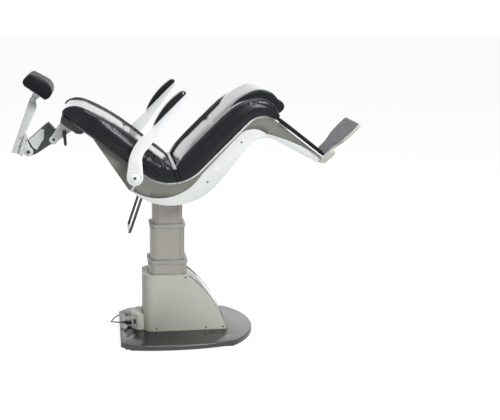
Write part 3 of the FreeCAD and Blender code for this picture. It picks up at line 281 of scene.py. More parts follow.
def finish(name, dark, light, rough, metallic=0.0, grain=(0, 0), creases=(0, 0), weave=(0, 0), streaks=None,
           coat=0.0, wear_and_highlight=None, dust=0.0, tone_scale=6.0, specular=0.5, facing_coat=0.0):
    """A named finish: two near colours mixed by patches, relief, worn edges and painted edge highlights, and
    dust.

    Grain, creases and weave are a scale and a depth in metres, and the edge colour with its amount gives
    worn edges on most finishes and a painted highlight line on the floor plate.
    """
    made = bpy.data.materials.new(name)
    made.use_nodes = True
    tree = made.node_tree
    shader = tree.nodes["Principled BSDF"]
    shader.inputs["Metallic"].default_value = metallic
    shader.inputs["Coat Weight"].default_value = coat
    shader.inputs["Coat Roughness"].default_value = COAT_ROUGHNESS
    shader.inputs["Specular IOR Level"].default_value = specular
    tone = effect(tree, "tone", Scale=tone_scale)
    base = mix_colours(tree, ramp(tree, tone, *NOISE_SPAN), (*dark, 1), (*light, 1))
    gloss = ramp(tree, tone, *NOISE_SPAN, *rough)
    if streaks:
        line = ramp(tree, effect(tree, "streaks", **streaks), *NOISE_SPAN, *STREAK_SHADES)
        base = mix_colours(tree, 1.0, base, line, "MULTIPLY")
        gloss = math_node(tree, "MULTIPLY", gloss, line)
    # Edge colour: worn edges on most finishes, a painted highlight along the floor plate's edges.
    if wear_and_highlight:
        edge_colour, amount = wear_and_highlight
        base = mix_colours(tree, effect(tree, "wear_and_highlight", Amount=amount), base, (*edge_colour, 1))
    if dust:
        film = effect(tree, "dust", Amount=dust)
        base = mix_colours(tree, film, base, DUST_COLOUR)
        gloss = mix_values(tree, film, gloss, DUST_ROUGHNESS)
    if facing_coat:
        shader.inputs["Coat IOR"].default_value = SLANT_COAT_IOR
        shader.inputs["Coat Roughness"].default_value = facing_coat
        slant = add_node(tree, "ShaderNodeLayerWeight", Blend=0.5).outputs["Facing"]
        weight = ramp(tree, slant, *SLANT_SPAN, 0.0, SLANT_COAT_MOST)
        tree.links.new(weight, shader.inputs["Coat Weight"])
    tree.links.new(base, shader.inputs["Base Color"])
    tree.links.new(gloss, shader.inputs["Roughness"])
    normal = None
    for kind, (scale, depth) in (("creases", creases), ("weave", weave), ("grain", grain)):
        if depth:
            height = effect(tree, kind, Scale=scale)
            bump = add_node(tree, "ShaderNodeBump", Height=height, Distance=depth, Strength=BUMP_STRENGTH)
            if normal:
                tree.links.new(normal, bump.inputs["Normal"])
            normal = bump.outputs["Normal"]
    if normal:
        tree.links.new(normal, shader.inputs["Normal"])
    return made


FINISH = {
    "beige_paint": finish("warm_grey_powder_coat", (0.475, 0.48, 0.42), (0.495, 0.5, 0.44), (0.4, 0.45),
                          grain=(900, 0.00004), wear_and_highlight=((0.55, 0.55, 0.5), 0.3), dust=0.03, tone_scale=3.0),
    "light_paint": finish("pale_grey_powder_coat", (0.74, 0.77, 0.76), (0.77, 0.8, 0.79), (0.36, 0.42),
                          grain=(900, 0.00004), wear_and_highlight=((0.85, 0.85, 0.84), 0.2), dust=0.02, tone_scale=3.0),
    "white_paint": finish("white_lacquer", (0.8, 0.82, 0.83), (0.85, 0.87, 0.88), (0.24, 0.32),
                          grain=(700, 0.00003), coat=0.2, wear_and_highlight=((0.6, 0.6, 0.58), 0.2), dust=0.02),
    "dark_paint": finish("slate_paint", (0.022, 0.03, 0.031), (0.034, 0.042, 0.043), (0.32, 0.42),
                         grain=(800, 0.00006), wear_and_highlight=((0.25, 0.25, 0.25), 0.5), dust=0.03),
    "black_gloss": finish("piano_black", (0.004, 0.004, 0.006), (0.006, 0.006, 0.008), (0.07, 0.09),
                          coat=0.6, grain=(300, 0.000004)),
    # Painted highlight: the floor plate's pale edge colour stands in for the light caught along its bevelled
    # edges.
    "base_black": finish("floor_plate_black", (0.005, 0.006, 0.008), (0.006, 0.008, 0.01), (0.2, 0.24),
                         specular=0.8, dust=0.004, grain=(700, 0.00003), wear_and_highlight=((0.75, 0.77, 0.79), 0.9),
                         tone_scale=3.0),
    "satin_aluminium": finish("satin_anodised", (0.315, 0.308, 0.27), (0.33, 0.322, 0.283), (0.36, 0.39),
                              metallic=0.6, streaks={"Scale": 600.0, "Along_Z": 0.004},
                              wear_and_highlight=((0.7, 0.69, 0.65), 0.3), tone_scale=2.5),
    "collar_grey": finish("collar_moulding", (0.31, 0.335, 0.32), (0.36, 0.385, 0.37), (0.36, 0.46),
                          grain=(600, 0.00005), dust=0.04),
    "guide_plastic": finish("guide_nylon", (0.6, 0.5, 0.24), (0.7, 0.62, 0.35), (0.4, 0.5),
                            grain=(400, 0.00006)),
    "steel": finish("turned_steel", (0.34, 0.34, 0.34), (0.46, 0.46, 0.46), (0.22, 0.34), metallic=1.0,
                    streaks={"Scale": 500.0, "Along_X": 0.05, "Along_Z": 1.0}, wear_and_highlight=((0.7, 0.7, 0.7), 0.4)),
    "vinyl": finish("black_leathercloth", (0.003, 0.004, 0.006), (0.0045, 0.006, 0.009), (0.27, 0.3),
                    creases=(14, 0.0005), grain=(700, 0.00005), specular=0.24, facing_coat=0.2),
    "black_plastic": finish("moulded_black", (0.006, 0.007, 0.009), (0.012, 0.013, 0.015), (0.3, 0.42),
                            grain=(650, 0.00006), dust=0.02),
    "pad_rubber": finish("foot_rubber", (0.012, 0.012, 0.012), (0.02, 0.02, 0.02), (0.7, 0.85),
                         grain=(350, 0.0001)),
    "mat_grey": finish("woven_mat", (0.06, 0.061, 0.066), (0.15, 0.15, 0.158), (0.6, 0.75),
                       grain=(420, 0.0002), weave=(55, 0.0016), tone_scale=40.0, dust=0.03),
    "lead_sheath": finish("lead_sheath_pvc", (0.01, 0.01, 0.011), (0.017, 0.017, 0.018), (0.4, 0.5),
                          grain=(500, 0.00005)),
}
# Painted shade: the cover's warm grey, darkened for the shade that falls on the skirts and back brackets.
SHADED_SKIRT_PAINT = finish("skirt_painted_shade_coat", (0.2, 0.205, 0.175), (0.215, 0.22, 0.19), (0.42, 0.48),
                     grain=(900, 0.00004), wear_and_highlight=((0.4, 0.4, 0.37), 0.2), dust=0.02, tone_scale=3.0)
HEADREST_PAINT = finish("headrest_powder_coat", (0.6, 0.63, 0.615), (0.625, 0.655, 0.64), (0.38, 0.44),
                        grain=(900, 0.00004), wear_and_highlight=((0.8, 0.8, 0.79), 0.5), dust=0.02, tone_scale=3.0)
DARK_SCREW = finish("blackened_screw", (0.02, 0.021, 0.023), (0.03, 0.031, 0.034), (0.3, 0.4), metallic=0.6,
                    grain=(900, 0.00004))
MATT_CLOTH = finish("matt_leathercloth", (0.005, 0.006, 0.008), (0.009, 0.0105, 0.013), (0.42, 0.52),
                    creases=(9, 0.001), grain=(600, 0.0001), specular=0.12)
print("finishes:", len(FINISH), "for the slots, and four for single pieces")

# %% [markdown]
# ## Mains lead
#
# The lead leaves its connector behind the pedestal, drops to the floor, runs round the floor plate and
# is wound into a neat coil that the pedestal hides. It is one smooth spline: its first points are the
# route of the measured tube, and the coil's turns are more points of the same line, side by side in
# three layers with a short step from each turn to the next.

# %% Make the mains lead
LEAD_THICKNESS = 0.007
LEAD_ROUTE = [
    (-246, 0, 56), (-264, 0, 56), (-281, 6, 55.5), (-294, 19, 52.5), (-302, 37, 47), (-306, 58, 39),
    (-307, 82, 29.5), (-306, 110, 19.5), (-303, 142, 11), (-297, 176, 5.6), (-285, 211, 3.9),
    (-266, 244, 3.7), (-240, 273, 3.7), (-208, 297, 3.7), (-171, 314, 3.7), (-131, 325, 3.7),
    (-88, 330.5, 3.7), (-44, 332.8, 3.7), (0, 333.4, 3.7), (40, 333, 3.7), (74, 332, 3.7),
]
LEAD_END = [(76, 424.5, 18.3), (62, 424.5, 18.3)]
COIL_CENTRE = (96, 378)
# Turn number, radius and height of the winding, in millimetres
WINDING = [
    (0, 46, 3.7), (0.85, 46, 3.7), (1, 39, 3.7), (1.85, 39, 3.7), (2, 32, 3.7), (2.7, 32, 3.7),
    (2.85, 32, 10.9), (3.85, 32, 10.9), (4, 39, 10.9), (4.85, 39, 10.9), (5, 46, 10.9), (5.5, 46, 10.9),
    (5.65, 46, 18.1), (5.7, 46, 18.1), (5.85, 39, 18.1), (6.85, 39, 18.1), (7, 46, 18.1), (7.5, 46.5, 18.2),
]
POINTS_PER_TURN = 20


def winding_at(turn_number):
    """Radius and height of the coil at a turn number."""
    for first, second in zip(WINDING, WINDING[1:]):
        if turn_number <= second[0]:
            share = (turn_number - first[0]) / (second[0] - first[0])
            return [a + share * (b - a) for a, b in zip(first[1:], second[1:])]
    return WINDING[-1][1:]


lead_points = list(LEAD_ROUTE)
for step in range(int(WINDING[-1][0] * POINTS_PER_TURN) + 1):
    radius, level = winding_at(step / POINTS_PER_TURN)
    angle = math.radians(-90 + 360 * step / POINTS_PER_TURN)
    across, back = radius * math.cos(angle), radius * math.sin(angle)
    lead_points.append((COIL_CENTRE[0] + across, COIL_CENTRE[1] + back, level))
lead_points += LEAD_END

lead_curve = bpy.data.curves.new("mains_lead_line", "CURVE")
lead_curve.dimensions = "3D"
lead_curve.bevel_depth = LEAD_THICKNESS / 2
lead_curve.bevel_resolution = 5
lead_curve.use_fill_caps = True
spline = lead_curve.splines.new("NURBS")
spline.points.add(len(lead_points) - 1)
for point, place in zip(spline.points, lead_points):
    point.co = (*(v / 1000 for v in place), 1)
spline.order_u = 3
spline.use_endpoint_u = True
spline.resolution_u = 6
lead_curve.materials.append(FINISH["lead_sheath"])
lead = bpy.data.objects.new("mains_lead_cord", lead_curve)
bpy.context.scene.collection.objects.link(lead)
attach(lead, "base")
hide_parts("mains_lead", "lead_coil")
lead_length = spline.calc_length()
print("lead:", round(lead_length, 3), "m in", len(lead_points), "points")

# %% [markdown]
# ## Rigid pieces
#
# Folded sheet, castings and extrusions never have razor edges: a rounding of about a millimetre is what
# catches the light. Each visible rigid piece is a merged copy of its measured shape, with flat triangles
# joined into whole faces, and a bevel that works on the sharp edges only.

# %% Round the edges of the rigid pieces
SAME_POINT = 0.000002
FLAT_ENOUGH = math.radians(0.5)


def merged_shape(node):
    """The node's triangles as one closed shape."""
    shape = bmesh.new()
    shape.from_mesh(NODES[node].data)
    bmesh.ops.remove_doubles(shape, verts=shape.verts, dist=SAME_POINT)
    return shape


def to_piece(name, shape, body, slot):
    """Turns a bmesh into a piece that rides on a body and wears a finish."""
    mesh = bpy.data.meshes.new(name)
    shape.to_mesh(mesh)
    shape.free()
    mesh.materials.append(FINISH[slot])
    piece = bpy.data.objects.new(name, mesh)
    bpy.context.scene.collection.objects.link(piece)
    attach(piece, body)
    return piece


def round_edges(piece, width, segments=2, angle=35):
    bevel = piece.modifiers.new("rounded", "BEVEL")
    bevel.width = width
    bevel.segments = segments
    bevel.limit_method = "ANGLE"
    bevel.angle_limit = math.radians(angle)
    bevel.harden_normals = True
    bevel.miter_outer = "MITER_ARC"


def rounded_copy(node, width):
    shape = merged_shape(node)
    bmesh.ops.dissolve_limit(shape, angle_limit=FLAT_ENOUGH, verts=shape.verts, edges=shape.edges,
                             delimit={"NORMAL"})
    piece = to_piece(node + "_rounded", shape, BODY_OF[node], SLOT_OF[node])
    piece.data.shade_smooth()
    round_edges(piece, width)
    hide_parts(node)
    return piece


# Width of the rounding of each node's edges, in metres
ROUNDED = {
    "base_plate": 0.004, "pedestal_cover": 0.0012, "pedestal_front_panel": 0.0015, "inlet_box": 0.001,
    "column_outer": 0.0012, "column_middle": 0.0012, "column_inner": 0.0012,
    "column_lower_collar": 0.0015, "column_upper_collar": 0.0015,
    "seat_deck": 0.0015, "side_plate_right": 0.001, "side_plate_left": 0.001,
    "back_bracket_right": 0.001, "back_bracket_left": 0.001, "back_pan": 0.0015,
    "arm_bar_right": 0.005, "arm_bar_left": 0.005, "footrest_bracket": 0.001, "footrest_tray": 0.002,
    "headrest_block": 0.002, "headrest_carriage": 0.0012, "headrest_link": 0.003, "headrest_clevis": 0.0015,
    "headrest_stem": 0.002, "headrest_lever": 0.002, "power_rocker": 0.0006, "swivel_head": 0.001,
    "arm_pivots": 0.0015, "headrest_back_plate": 0.001, "mains_connector": 0.0015,
}
rounded = {node: rounded_copy(node, width) for node, width in ROUNDED.items()}
print("rounded pieces:", len(rounded))

# %% [markdown]
# ## Skirts
#
# The skirts are one smooth pressed sheet. Their measured shape is made of long narrow bands, so a merged
# copy with shading smoothed across the bands gives back the single flowing surface. They and the back
# brackets get a darker copy of the warm grey paint: painted shade for the shade under the seat's rim.

# %% Smooth the skirts
for side in ("right", "left"):
    node = f"side_flare_{side}"
    skirt = to_piece(f"side_skirt_{side}", merged_shape(node), "seat", "beige_paint")
    # Painted shade: the darker copy of the warm grey stands in for the shade under the rim.
    skirt.data.materials[0] = SHADED_SKIRT_PAINT
    skirt.data.shade_smooth()
    skirt.data.set_sharp_from_angle(angle=math.radians(50))
    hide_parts(node)
    # The back brackets get the same painted shade.
    rounded[f"back_bracket_{side}"].data.materials[0] = SHADED_SKIRT_PAINT
for node in ("headrest_stem", "headrest_clevis"):
    rounded[node].data.materials[0] = HEADREST_PAINT
print("skirts smoothed")

# %% [markdown]
# ## Finishes of the pieces that stay as measured
#
# What is small, hidden or already right keeps its measured mesh and only gets its finish.

# %% Give the measured pieces their finish
for name, node in NODES.items():
    for place in range(len(node.data.materials)):
        node.data.materials[place] = FINISH[SLOT_OF[name]]
NODES["pedestal_screws"].data.materials[0] = DARK_SCREW
print("finished nodes:", len(NODES))

# %% [markdown]
# ## Cushions
#
# Each cushion is foam in sewn leathercloth: a crowned closed form that is flat only where it rests. The
# measured solid gives its place. A remeshed, slightly smaller copy is smoothed at its edges and blown up
# by the cloth solver. Its swelling is scaled down to the most that its space allows, from 2 mm on an arm
# pad to 13 mm on a bolster, so a face stays rounder in its middle than at its edges.

# %% Inflate the cushions
SEAT_CENTRE = Vector((0.010, 0, 1.075))
RECLINE = Matrix.Rotation(-RECLINE_ANGLE, 3, "Y")


def apply_modifiers(piece):
    """Replaces the mesh by what its modifiers show."""
    depsgraph = bpy.context.evaluated_depsgraph_get()
    shown = bpy.data.meshes.new_from_object(piece.evaluated_get(depsgraph))
    piece.modifiers.clear()
    piece.data = shown


RESTING_SHARE = 0.15
RESTING_FACING = 0.6
NEARLY_ALL = 0.97


def freedom(vert, rests):
    """How freely a point swells: little where it faces what the cushion rests on."""
    facing = RECLINE.transposed() @ vert.normal
    return RESTING_SHARE if any(facing.dot(Vector(way)) > RESTING_FACING for way in rests) else 1


class Cushion:
    """One padded piece on its way from measured solid to finished mesh."""

    def __init__(self, node, voxel, shrink, rounding, cap, rests, body, fill):
        """Voxel, shrink and the cap on swelling are in metres, and rounding is a number of passes."""
        self.node, self.cap = node, cap
        self.piece = to_piece(node + "_soft", merged_shape(node), body, "vinyl")
        remesh = self.piece.modifiers.new("even", "REMESH")
        remesh.mode = "VOXEL"
        remesh.voxel_size = voxel
        apply_modifiers(self.piece)
        shape = bmesh.new()
        shape.from_mesh(self.piece.data)
        shape.normal_update()
        moves = [vert.normal * shrink * freedom(vert, rests) for vert in shape.verts]
        for vert, move in zip(shape.verts, moves):
            vert.co -= move
        for _ in range(rounding):
            bmesh.ops.smooth_vert(shape, verts=shape.verts, factor=0.5,
                                  use_axis_x=True, use_axis_y=True, use_axis_z=True)
        shape.to_mesh(self.piece.data)
        self.start = [vert.co.copy() for vert in shape.verts]
        self.free = [freedom(vert, rests) for vert in shape.verts]
        shape.free()
        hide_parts(node)

    def stuff(self):
        """Adds the cloth that is blown up from inside."""
        cloth = self.piece.modifiers.new("stuffing", "CLOTH")
        cloth.settings.quality = 4
        cloth.settings.mass = 0.3
        cloth.settings.use_pressure = True
        cloth.settings.uniform_pressure_force = 4
        cloth.settings.effector_weights.gravity = 0
        cloth.collision_settings.use_collision = False
        cloth.collision_settings.use_self_collision = False

    def settle(self):
        """Reads the blown-up shape, scales down how far it moved and keeps it."""
        depsgraph = bpy.context.evaluated_depsgraph_get()
        blown = [vert.co.copy() for vert in self.piece.evaluated_get(depsgraph).data.vertices]
        self.piece.modifiers.clear()
        moves = [end - start for start, end in zip(self.start, blown)]
        longest = sorted(move.length for move in moves)[int(len(moves) * NEARLY_ALL)]
        print(self.node, "moved", round(longest * 1000, 1), "mm")
        share = min(1.0, self.cap / longest)
        for vert, start, move, free in zip(self.piece.data.vertices, self.start, moves, self.free):
            move = move * share * free
            if move.length > self.cap * free:
                move = move.normalized() * self.cap * free
            vert.co = start + move


DOWN, REAR, RIGHT, LEFT = (0, 0, -1), (-1, 0, 0), (0, -1, 0), (0, 1, 0)
# Node, voxel, shrink, smoothing passes, most swelling, sides it rests on, body and how full it is
cushions = [
    Cushion("back_bolster_right", 0.005, 0.003, 36, 0.013, [REAR, LEFT], "seat", 0.8),
    Cushion("back_bolster_left", 0.005, 0.003, 36, 0.013, [REAR, RIGHT], "seat", 0.8),
    Cushion("back_panel", 0.006, 0.003, 8, 0.007, [REAR, LEFT, RIGHT], "seat", 0.7),
    Cushion("seat_bolster_right", 0.005, 0.003, 36, 0.013, [DOWN, LEFT], "seat", 0.8),
    Cushion("seat_bolster_left", 0.005, 0.003, 36, 0.013, [DOWN, RIGHT], "seat", 0.8),
    Cushion("seat_panel", 0.006, 0.003, 8, 0.007, [DOWN, LEFT, RIGHT], "seat", 0.7),
    Cushion("headrest_pad", 0.004, 0.001, 14, 0.007, [REAR], "headrest", 0.8),
    Cushion("leg_pad", 0.004, 0.0015, 5, 0.003, [REAR], "seat", 0.9),
    Cushion("arm_pad_right", 0.0025, 0.0015, 5, 0.002, [DOWN], "arm_right", 0.9),
    Cushion("arm_pad_left", 0.0025, 0.0015, 5, 0.002, [DOWN], "arm_left", 0.9),
]
STUFFING_FRAMES = 20
for cushion in cushions:
    cushion.stuff()
for moment in range(1, STUFFING_FRAMES + 1):
    bpy.context.scene.frame_set(moment)
for cushion in cushions:
    cushion.settle()
for cushion in cushions:
    fine = cushion.piece.modifiers.new("fine", "SUBSURF")
    fine.levels = fine.render_levels = 1
    apply_modifiers(cushion.piece)
    cushion.piece.data.shade_smooth()
    print(cushion.node, len(cushion.piece.data.polygons), "faces")
soft = {cushion.node: cushion.piece for cushion in cushions}
for node in ("leg_pad", "headrest_pad"):
    soft[node].data.materials[0] = MATT_CLOTH

# %% [markdown]
# ## Seams
#
# Leathercloth is sewn from panels, and every seam pulls the foam in. A seam is drawn as a line through a
# few measured places, pressed onto the cushion, and then the cloth is sunk along it. Where cloth is
# gathered into the seam, short pleats run away from it. Welted seams also carry a thin round cord.

# %% Sew the seams
SEAT_SPACE = Matrix.Translation(SEAT_CENTRE) @ Matrix.Rotation(-RECLINE_ANGLE, 4, "Y")


def in_seat(forward, left, height):
    """World place of a point measured in the upright seat, in millimetres."""
    return SEAT_SPACE @ (Vector((forward, left, height)) / 1000)


SEAM_STEP = 0.005
SEAM_PASSES = 12


def seam_line(cushion, places):
    """Close points along a line on a cushion's surface."""
    line = []
    for first, second in zip(places, places[1:]):
        start, end = in_seat(*first), in_seat(*second)
        count = max(2, round((end - start).length / SEAM_STEP))
        line += [start.lerp(end, step / count) for step in range(count)]
    line.append(in_seat(*places[-1]))
    for _ in range(SEAM_PASSES):
        inner = [(a + 2 * b + c) / 4 for a, b, c in zip(line, line[1:], line[2:])]
        line = [line[0], *inner, line[-1]]
    shape = bmesh.new()
    shape.from_mesh(soft[cushion].data)
    surface = BVHTree.FromBMesh(shape)
    shape.free()
    return [surface.find_nearest(point)[:2] for point in line]


def sew(cushion, places, depth=0.0035, width=0.006, pleat=0.0, reach=0.025, pitch=0.018):
    """Sinks the cloth along a seam and gathers it into pleats beside the seam."""
    line = seam_line(cushion, places)
    finder = KDTree(len(line))
    along = [0.0]
    for number, (point, normal) in enumerate(line):
        finder.insert(point, number)
        if number:
            along.append(along[-1] + (point - line[number - 1][0]).length)
    finder.balance()
    shape = bmesh.new()
    shape.from_mesh(soft[cushion].data)
    moves = []
    for vert in shape.verts:
        point, number, far = finder.find(vert.co)
        dip = math.exp(-(far / width) ** 2)
        sink = depth * dip
        if pleat:
            wave = 0.5 - 0.5 * math.cos(math.tau * along[number] / pitch)
            sink += pleat * wave * math.exp(-far / reach) * (1 - dip)
        moves.append(vert.normal * sink)
    for vert, move in zip(shape.verts, moves):
        vert.co -= move
    shape.to_mesh(soft[cushion].data)
    shape.free()
    return line


def welt(name, line, body, radius=0.0018, slot="vinyl", sunk=0.0015):
    """A thin round cord along a seam or a gap."""
    curve = bpy.data.curves.new(name, "CURVE")
    curve.dimensions = "3D"
    curve.bevel_depth = radius
    curve.bevel_resolution = 2
    curve.use_fill_caps = True
    run = curve.splines.new("NURBS")
    run.points.add(len(line) - 1)
    for knot, (point, normal) in zip(run.points, line):
        knot.co = (*(point - normal * sunk), 1)
    run.order_u = 3
    run.use_endpoint_u = True
    run.resolution_u = 2
    drawn = bpy.data.objects.new(name + "_line", curve)
    bpy.context.scene.collection.objects.link(drawn)
    mesh = bpy.data.meshes.new_from_object(drawn.evaluated_get(bpy.context.evaluated_depsgraph_get()))
    bpy.data.objects.remove(drawn)
    mesh.materials.clear()
    mesh.materials.append(FINISH[slot])
    piece = bpy.data.objects.new(name, mesh)
    bpy.context.scene.collection.objects.link(piece)
    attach(piece, body)
    piece.data.shade_smooth()


BOLSTER_FACE = 265
ACROSS_PANEL = range(-160, 161, 40)
for side, name in ((-1, "right"), (1, "left")):
    face = side * BOLSTER_FACE
    rear_seam = [(-270, face, 500), (-235, face, 379), (-199, face, 242), (-174, face, 129), (-148, face, 18),
                 (-150, face, -60)]
    welt(f"back_welt_{name}", sew(f"back_bolster_{name}", rear_seam, depth=0.003, width=0.005), "seat")
    hip_seam = [(-92, face, 120), (-84, face, 70), (-82, face, -5), (-112, face, -58), (-150, face, -80)]
    sew(f"back_bolster_{name}", hip_seam, depth=0.004, width=0.007, pleat=0.0022, reach=0.03, pitch=0.026)
    front_seam = [(500, face, -262), (478, face, -190), (440, face, -130)]
    sew(f"seat_bolster_{name}", front_seam, depth=0.002, width=0.007)
PANEL_PLEATS = {"pleat": 0.0012, "reach": 0.03, "pitch": 0.04}
sew("back_panel", [(-140, y, 205) for y in ACROSS_PANEL], depth=0.008, width=0.012, **PANEL_PLEATS)
sew("seat_panel", [(216, y, -68) for y in ACROSS_PANEL], depth=0.007, width=0.012, **PANEL_PLEATS)
sew("seat_panel", [(548, y, -225) for y in ACROSS_PANEL], depth=0.004, width=0.008)
print("seams sewn")

# %% [markdown]
# ## Small fittings
#
# Screws, caps and rings tell the eye how big the chair is. Each is spun from its half outline, and
# stands on the surface that the real one is screwed into. Places on the seat are given as they are
# measured with the seat upright, and then leaned back with it.

# %% Turn and place the fittings
SCREW_HEAD = [(0, 0), (4.6, 0), (4.6, 1.2), (3.6, 2.3), (2.2, 2.6), (1.9, 2.6), (1.9, 1.0), (0, 1.0)]


def fittings(name, body, slot, outline, places, scale=1.0, steps=20):
    """One piece of equal turned forms, each at a place and facing a way."""
    shape = bmesh.new()
    for place, way in places:
        single = bmesh.new()
        verts = [single.verts.new(Vector((radius, 0, height)) * scale / 1000) for radius, height in outline]
        edges = [single.edges.new(pair) for pair in zip(verts, verts[1:])]
        bmesh.ops.spin(single, geom=verts + edges, cent=(0, 0, 0), axis=(0, 0, 1), angle=math.tau,
                       steps=steps, use_merge=True)
        bmesh.ops.remove_doubles(single, verts=single.verts, dist=SAME_POINT)
        bmesh.ops.recalc_face_normals(single, faces=single.faces)
        turn_to = Vector(way).to_track_quat("Z", "Y").to_matrix().to_4x4()
        bmesh.ops.transform(single, matrix=Matrix.Translation(place) @ turn_to, verts=single.verts)
        held = bpy.data.meshes.new("single")
        single.to_mesh(held)
        single.free()
        shape.from_mesh(held)
        bpy.data.meshes.remove(held)
    piece = to_piece(name, shape, body, slot)
    piece.data.shade_smooth()
    piece.data.set_sharp_from_angle(angle=math.radians(40))
    return piece


SIDES = ((-1, "right", RIGHT), (1, "left", LEFT))
# How far from the middle each surface lies, in millimetres
PLATE_SIDE, CAP_SIDE, SKIRT_SIDE = 215.2, 215.1, 221
ARM_SIDE, AXLE_SIDE, ARM_TIP_SIDE = 332.1, 340.2, 350.2
CLEVIS_SIDE, STEM_SIDE, CARRIAGE_SIDE, LINK_SIDE = 34.3, 5.0, 36.3, 22.0
plate_places = [(in_seat(x, side * PLATE_SIDE, z), way) for side, name, way in SIDES
                for x, z in ((-6, -266), (262, -244))]
skirt_places = [(in_seat(-222, side * SKIRT_SIDE, -63), way) for side, name, way in SIDES]
plate_heads = fittings("plate_screw_heads", "seat", "dark_paint", SCREW_HEAD, plate_places, scale=1.05)
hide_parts("plate_screws")
fittings("skirt_screws", "seat", "dark_paint", SCREW_HEAD, skirt_places)
CAP = [(0, 0), (18, 0), (18, 0.8), (16.5, 1.5), (0, 1.5)]
fittings("plate_caps", "seat", "white_paint", CAP,
         [(in_seat(71, side * CAP_SIDE, -254), way) for side, name, way in SIDES], steps=40)
RING = [(27, 0), (27, 1.4), (29, 2.0), (32, 2.0), (34, 1.4), (34, 0)]
for side, name, way in SIDES:
    hub = [(in_seat(-235, side * ARM_SIDE, 37), way)]
    fittings(f"arm_ring_{name}", f"arm_{name}", "light_paint", RING, hub, steps=48)
    axle_end = [(in_seat(-235, side * AXLE_SIDE, 37), way)]
    fittings(f"arm_bolt_{name}", "seat", "dark_paint", SCREW_HEAD, axle_end, scale=1.5)
    fittings(f"arm_tip_screw_{name}", f"arm_{name}", "steel", SCREW_HEAD,
             [(in_seat(229, side * ARM_TIP_SIDE, 167), way)], scale=1.1)
for side, name, way in SIDES:
    elbow = [(in_seat(-555, side * CLEVIS_SIDE, 479), way)]
    fittings(f"elbow_bolt_{name}", "headrest_post", "dark_paint", SCREW_HEAD, elbow, scale=2.0, steps=32)
    on_stem = ((-538, 558), (-570, 530), (-599, 489))
    stem_places = [(in_seat(x, side * STEM_SIDE, z), way) for x, z in on_stem]
    stem_places += [(in_seat(-516, side * CLEVIS_SIDE, 529), way)]
    fittings(f"stem_screws_{name}", "headrest_post", "dark_paint", SCREW_HEAD, stem_places, scale=0.7)
    shoulder = [(in_seat(-418, side * CARRIAGE_SIDE, 431), way)]
    fittings(f"shoulder_bolt_{name}", "headrest_slider", "dark_paint", SCREW_HEAD, shoulder, scale=1.6,
             steps=32)
    link_face = [(in_seat(-386, side * LINK_SIDE, 500), way)]
    fittings(f"link_bolt_{name}", "headrest_arm", "black_plastic", SCREW_HEAD, link_face, scale=1.2,
             steps=32)
print("fittings placed")

# %% [markdown]
# ## Cover plates, grooves and seams of the sheet metal
#
# Flat parts are drawn as a side outline and given a thickness: the strip of leathercloth that closes the
# crease at the hip, and the pale cover on the headrest link. A small black block under the collar is painted
# shadow: it stands in for the collar's shadow. Thin dark strips beside the extrusion's chamfers are painted
# shade in its grooves, and a black seal fills the joint between the pedestal's cover and its front panel.

# %% Add covers, grooves and seals
def slab(name, body, slot, outline, near, thick):
    """A flat piece with a side outline in the upright seat, between two distances to the side."""
    shape = bmesh.new()
    face = shape.faces.new([shape.verts.new(in_seat(x, near, z)) for x, z in outline])
    grown = bmesh.ops.extrude_face_region(shape, geom=[face])
    moved = [item for item in grown["geom"] if isinstance(item, bmesh.types.BMVert)]
    bmesh.ops.translate(shape, verts=moved, vec=(0, thick / 1000, 0))
    bmesh.ops.recalc_face_normals(shape, faces=shape.faces)
    return to_piece(name, shape, body, slot)


def bars(name, body, slot, places):
    """One piece of straight bars: centre, size and turn about the upright axis, in mm and degrees."""
    shape = bmesh.new()
    for centre, size, turned in places:
        place = Matrix.Translation(Vector(centre) / 1000) @ Matrix.Rotation(math.radians(turned), 4, "Z")
        scale = Matrix.Diagonal((*(v / 1000 for v in size), 1))
        bmesh.ops.create_cube(shape, size=1, matrix=place @ scale)
    return to_piece(name, shape, body, slot)


HIP_FILLER = [(-113, -147), (-95, -157), (-62, -97), (-80, -86)]
HIP_SIDE = 256
filler = slab("hip_filler", "seat", "vinyl", HIP_FILLER, -HIP_SIDE, 2 * HIP_SIDE)
round_edges(filler, width=0.004)
LINK_COVER = [(-512, 519), (-424, 515), (-416, 500), (-452, 470), (-520, 455), (-523, 480)]
COVER_THICKNESS = 1.2
for side, name, way in SIDES:
    cover = slab(f"link_cover_{name}", "headrest_arm", "light_paint", LINK_COVER, side * LINK_SIDE,
                 side * COVER_THICKNESS)
    cover.data.materials[0] = HEADREST_PAINT
# Node, body, half widths along X and Y, lowest and highest point, in millimetres
GROOVES = [
    ("column_outer", "base", 102, 85, 352, 406),
    ("column_middle", "column_middle_stage", 91, 74, 240, 604),
    ("column_inner", "column_inner_stage", 80, 63, 340, 784),
]
CHAMFER, INSET = 24, 2
GROOVE_WIDTH, GROOVE_HEIGHT = 1.4, 0.3
for node, body, half_x, half_y, low, high in GROOVES:
    lines = []
    level, tall = (low + high) / 2, high - low
    for across in (-1, 1):
        for side in (-1, 1):
            beside_x, beside_y = half_x - CHAMFER - INSET, half_y - CHAMFER - INSET
            lines += [
                ((across * beside_x, side * half_y, level), (GROOVE_WIDTH, GROOVE_HEIGHT, tall), 0),
                ((across * half_x, side * beside_y, level), (GROOVE_HEIGHT, GROOVE_WIDTH, tall), 0),
            ]
    # Painted shade: dark strips where the shade inside the extrusion's grooves falls.
    bars(node + "_groove_shade", body, "dark_paint", lines)
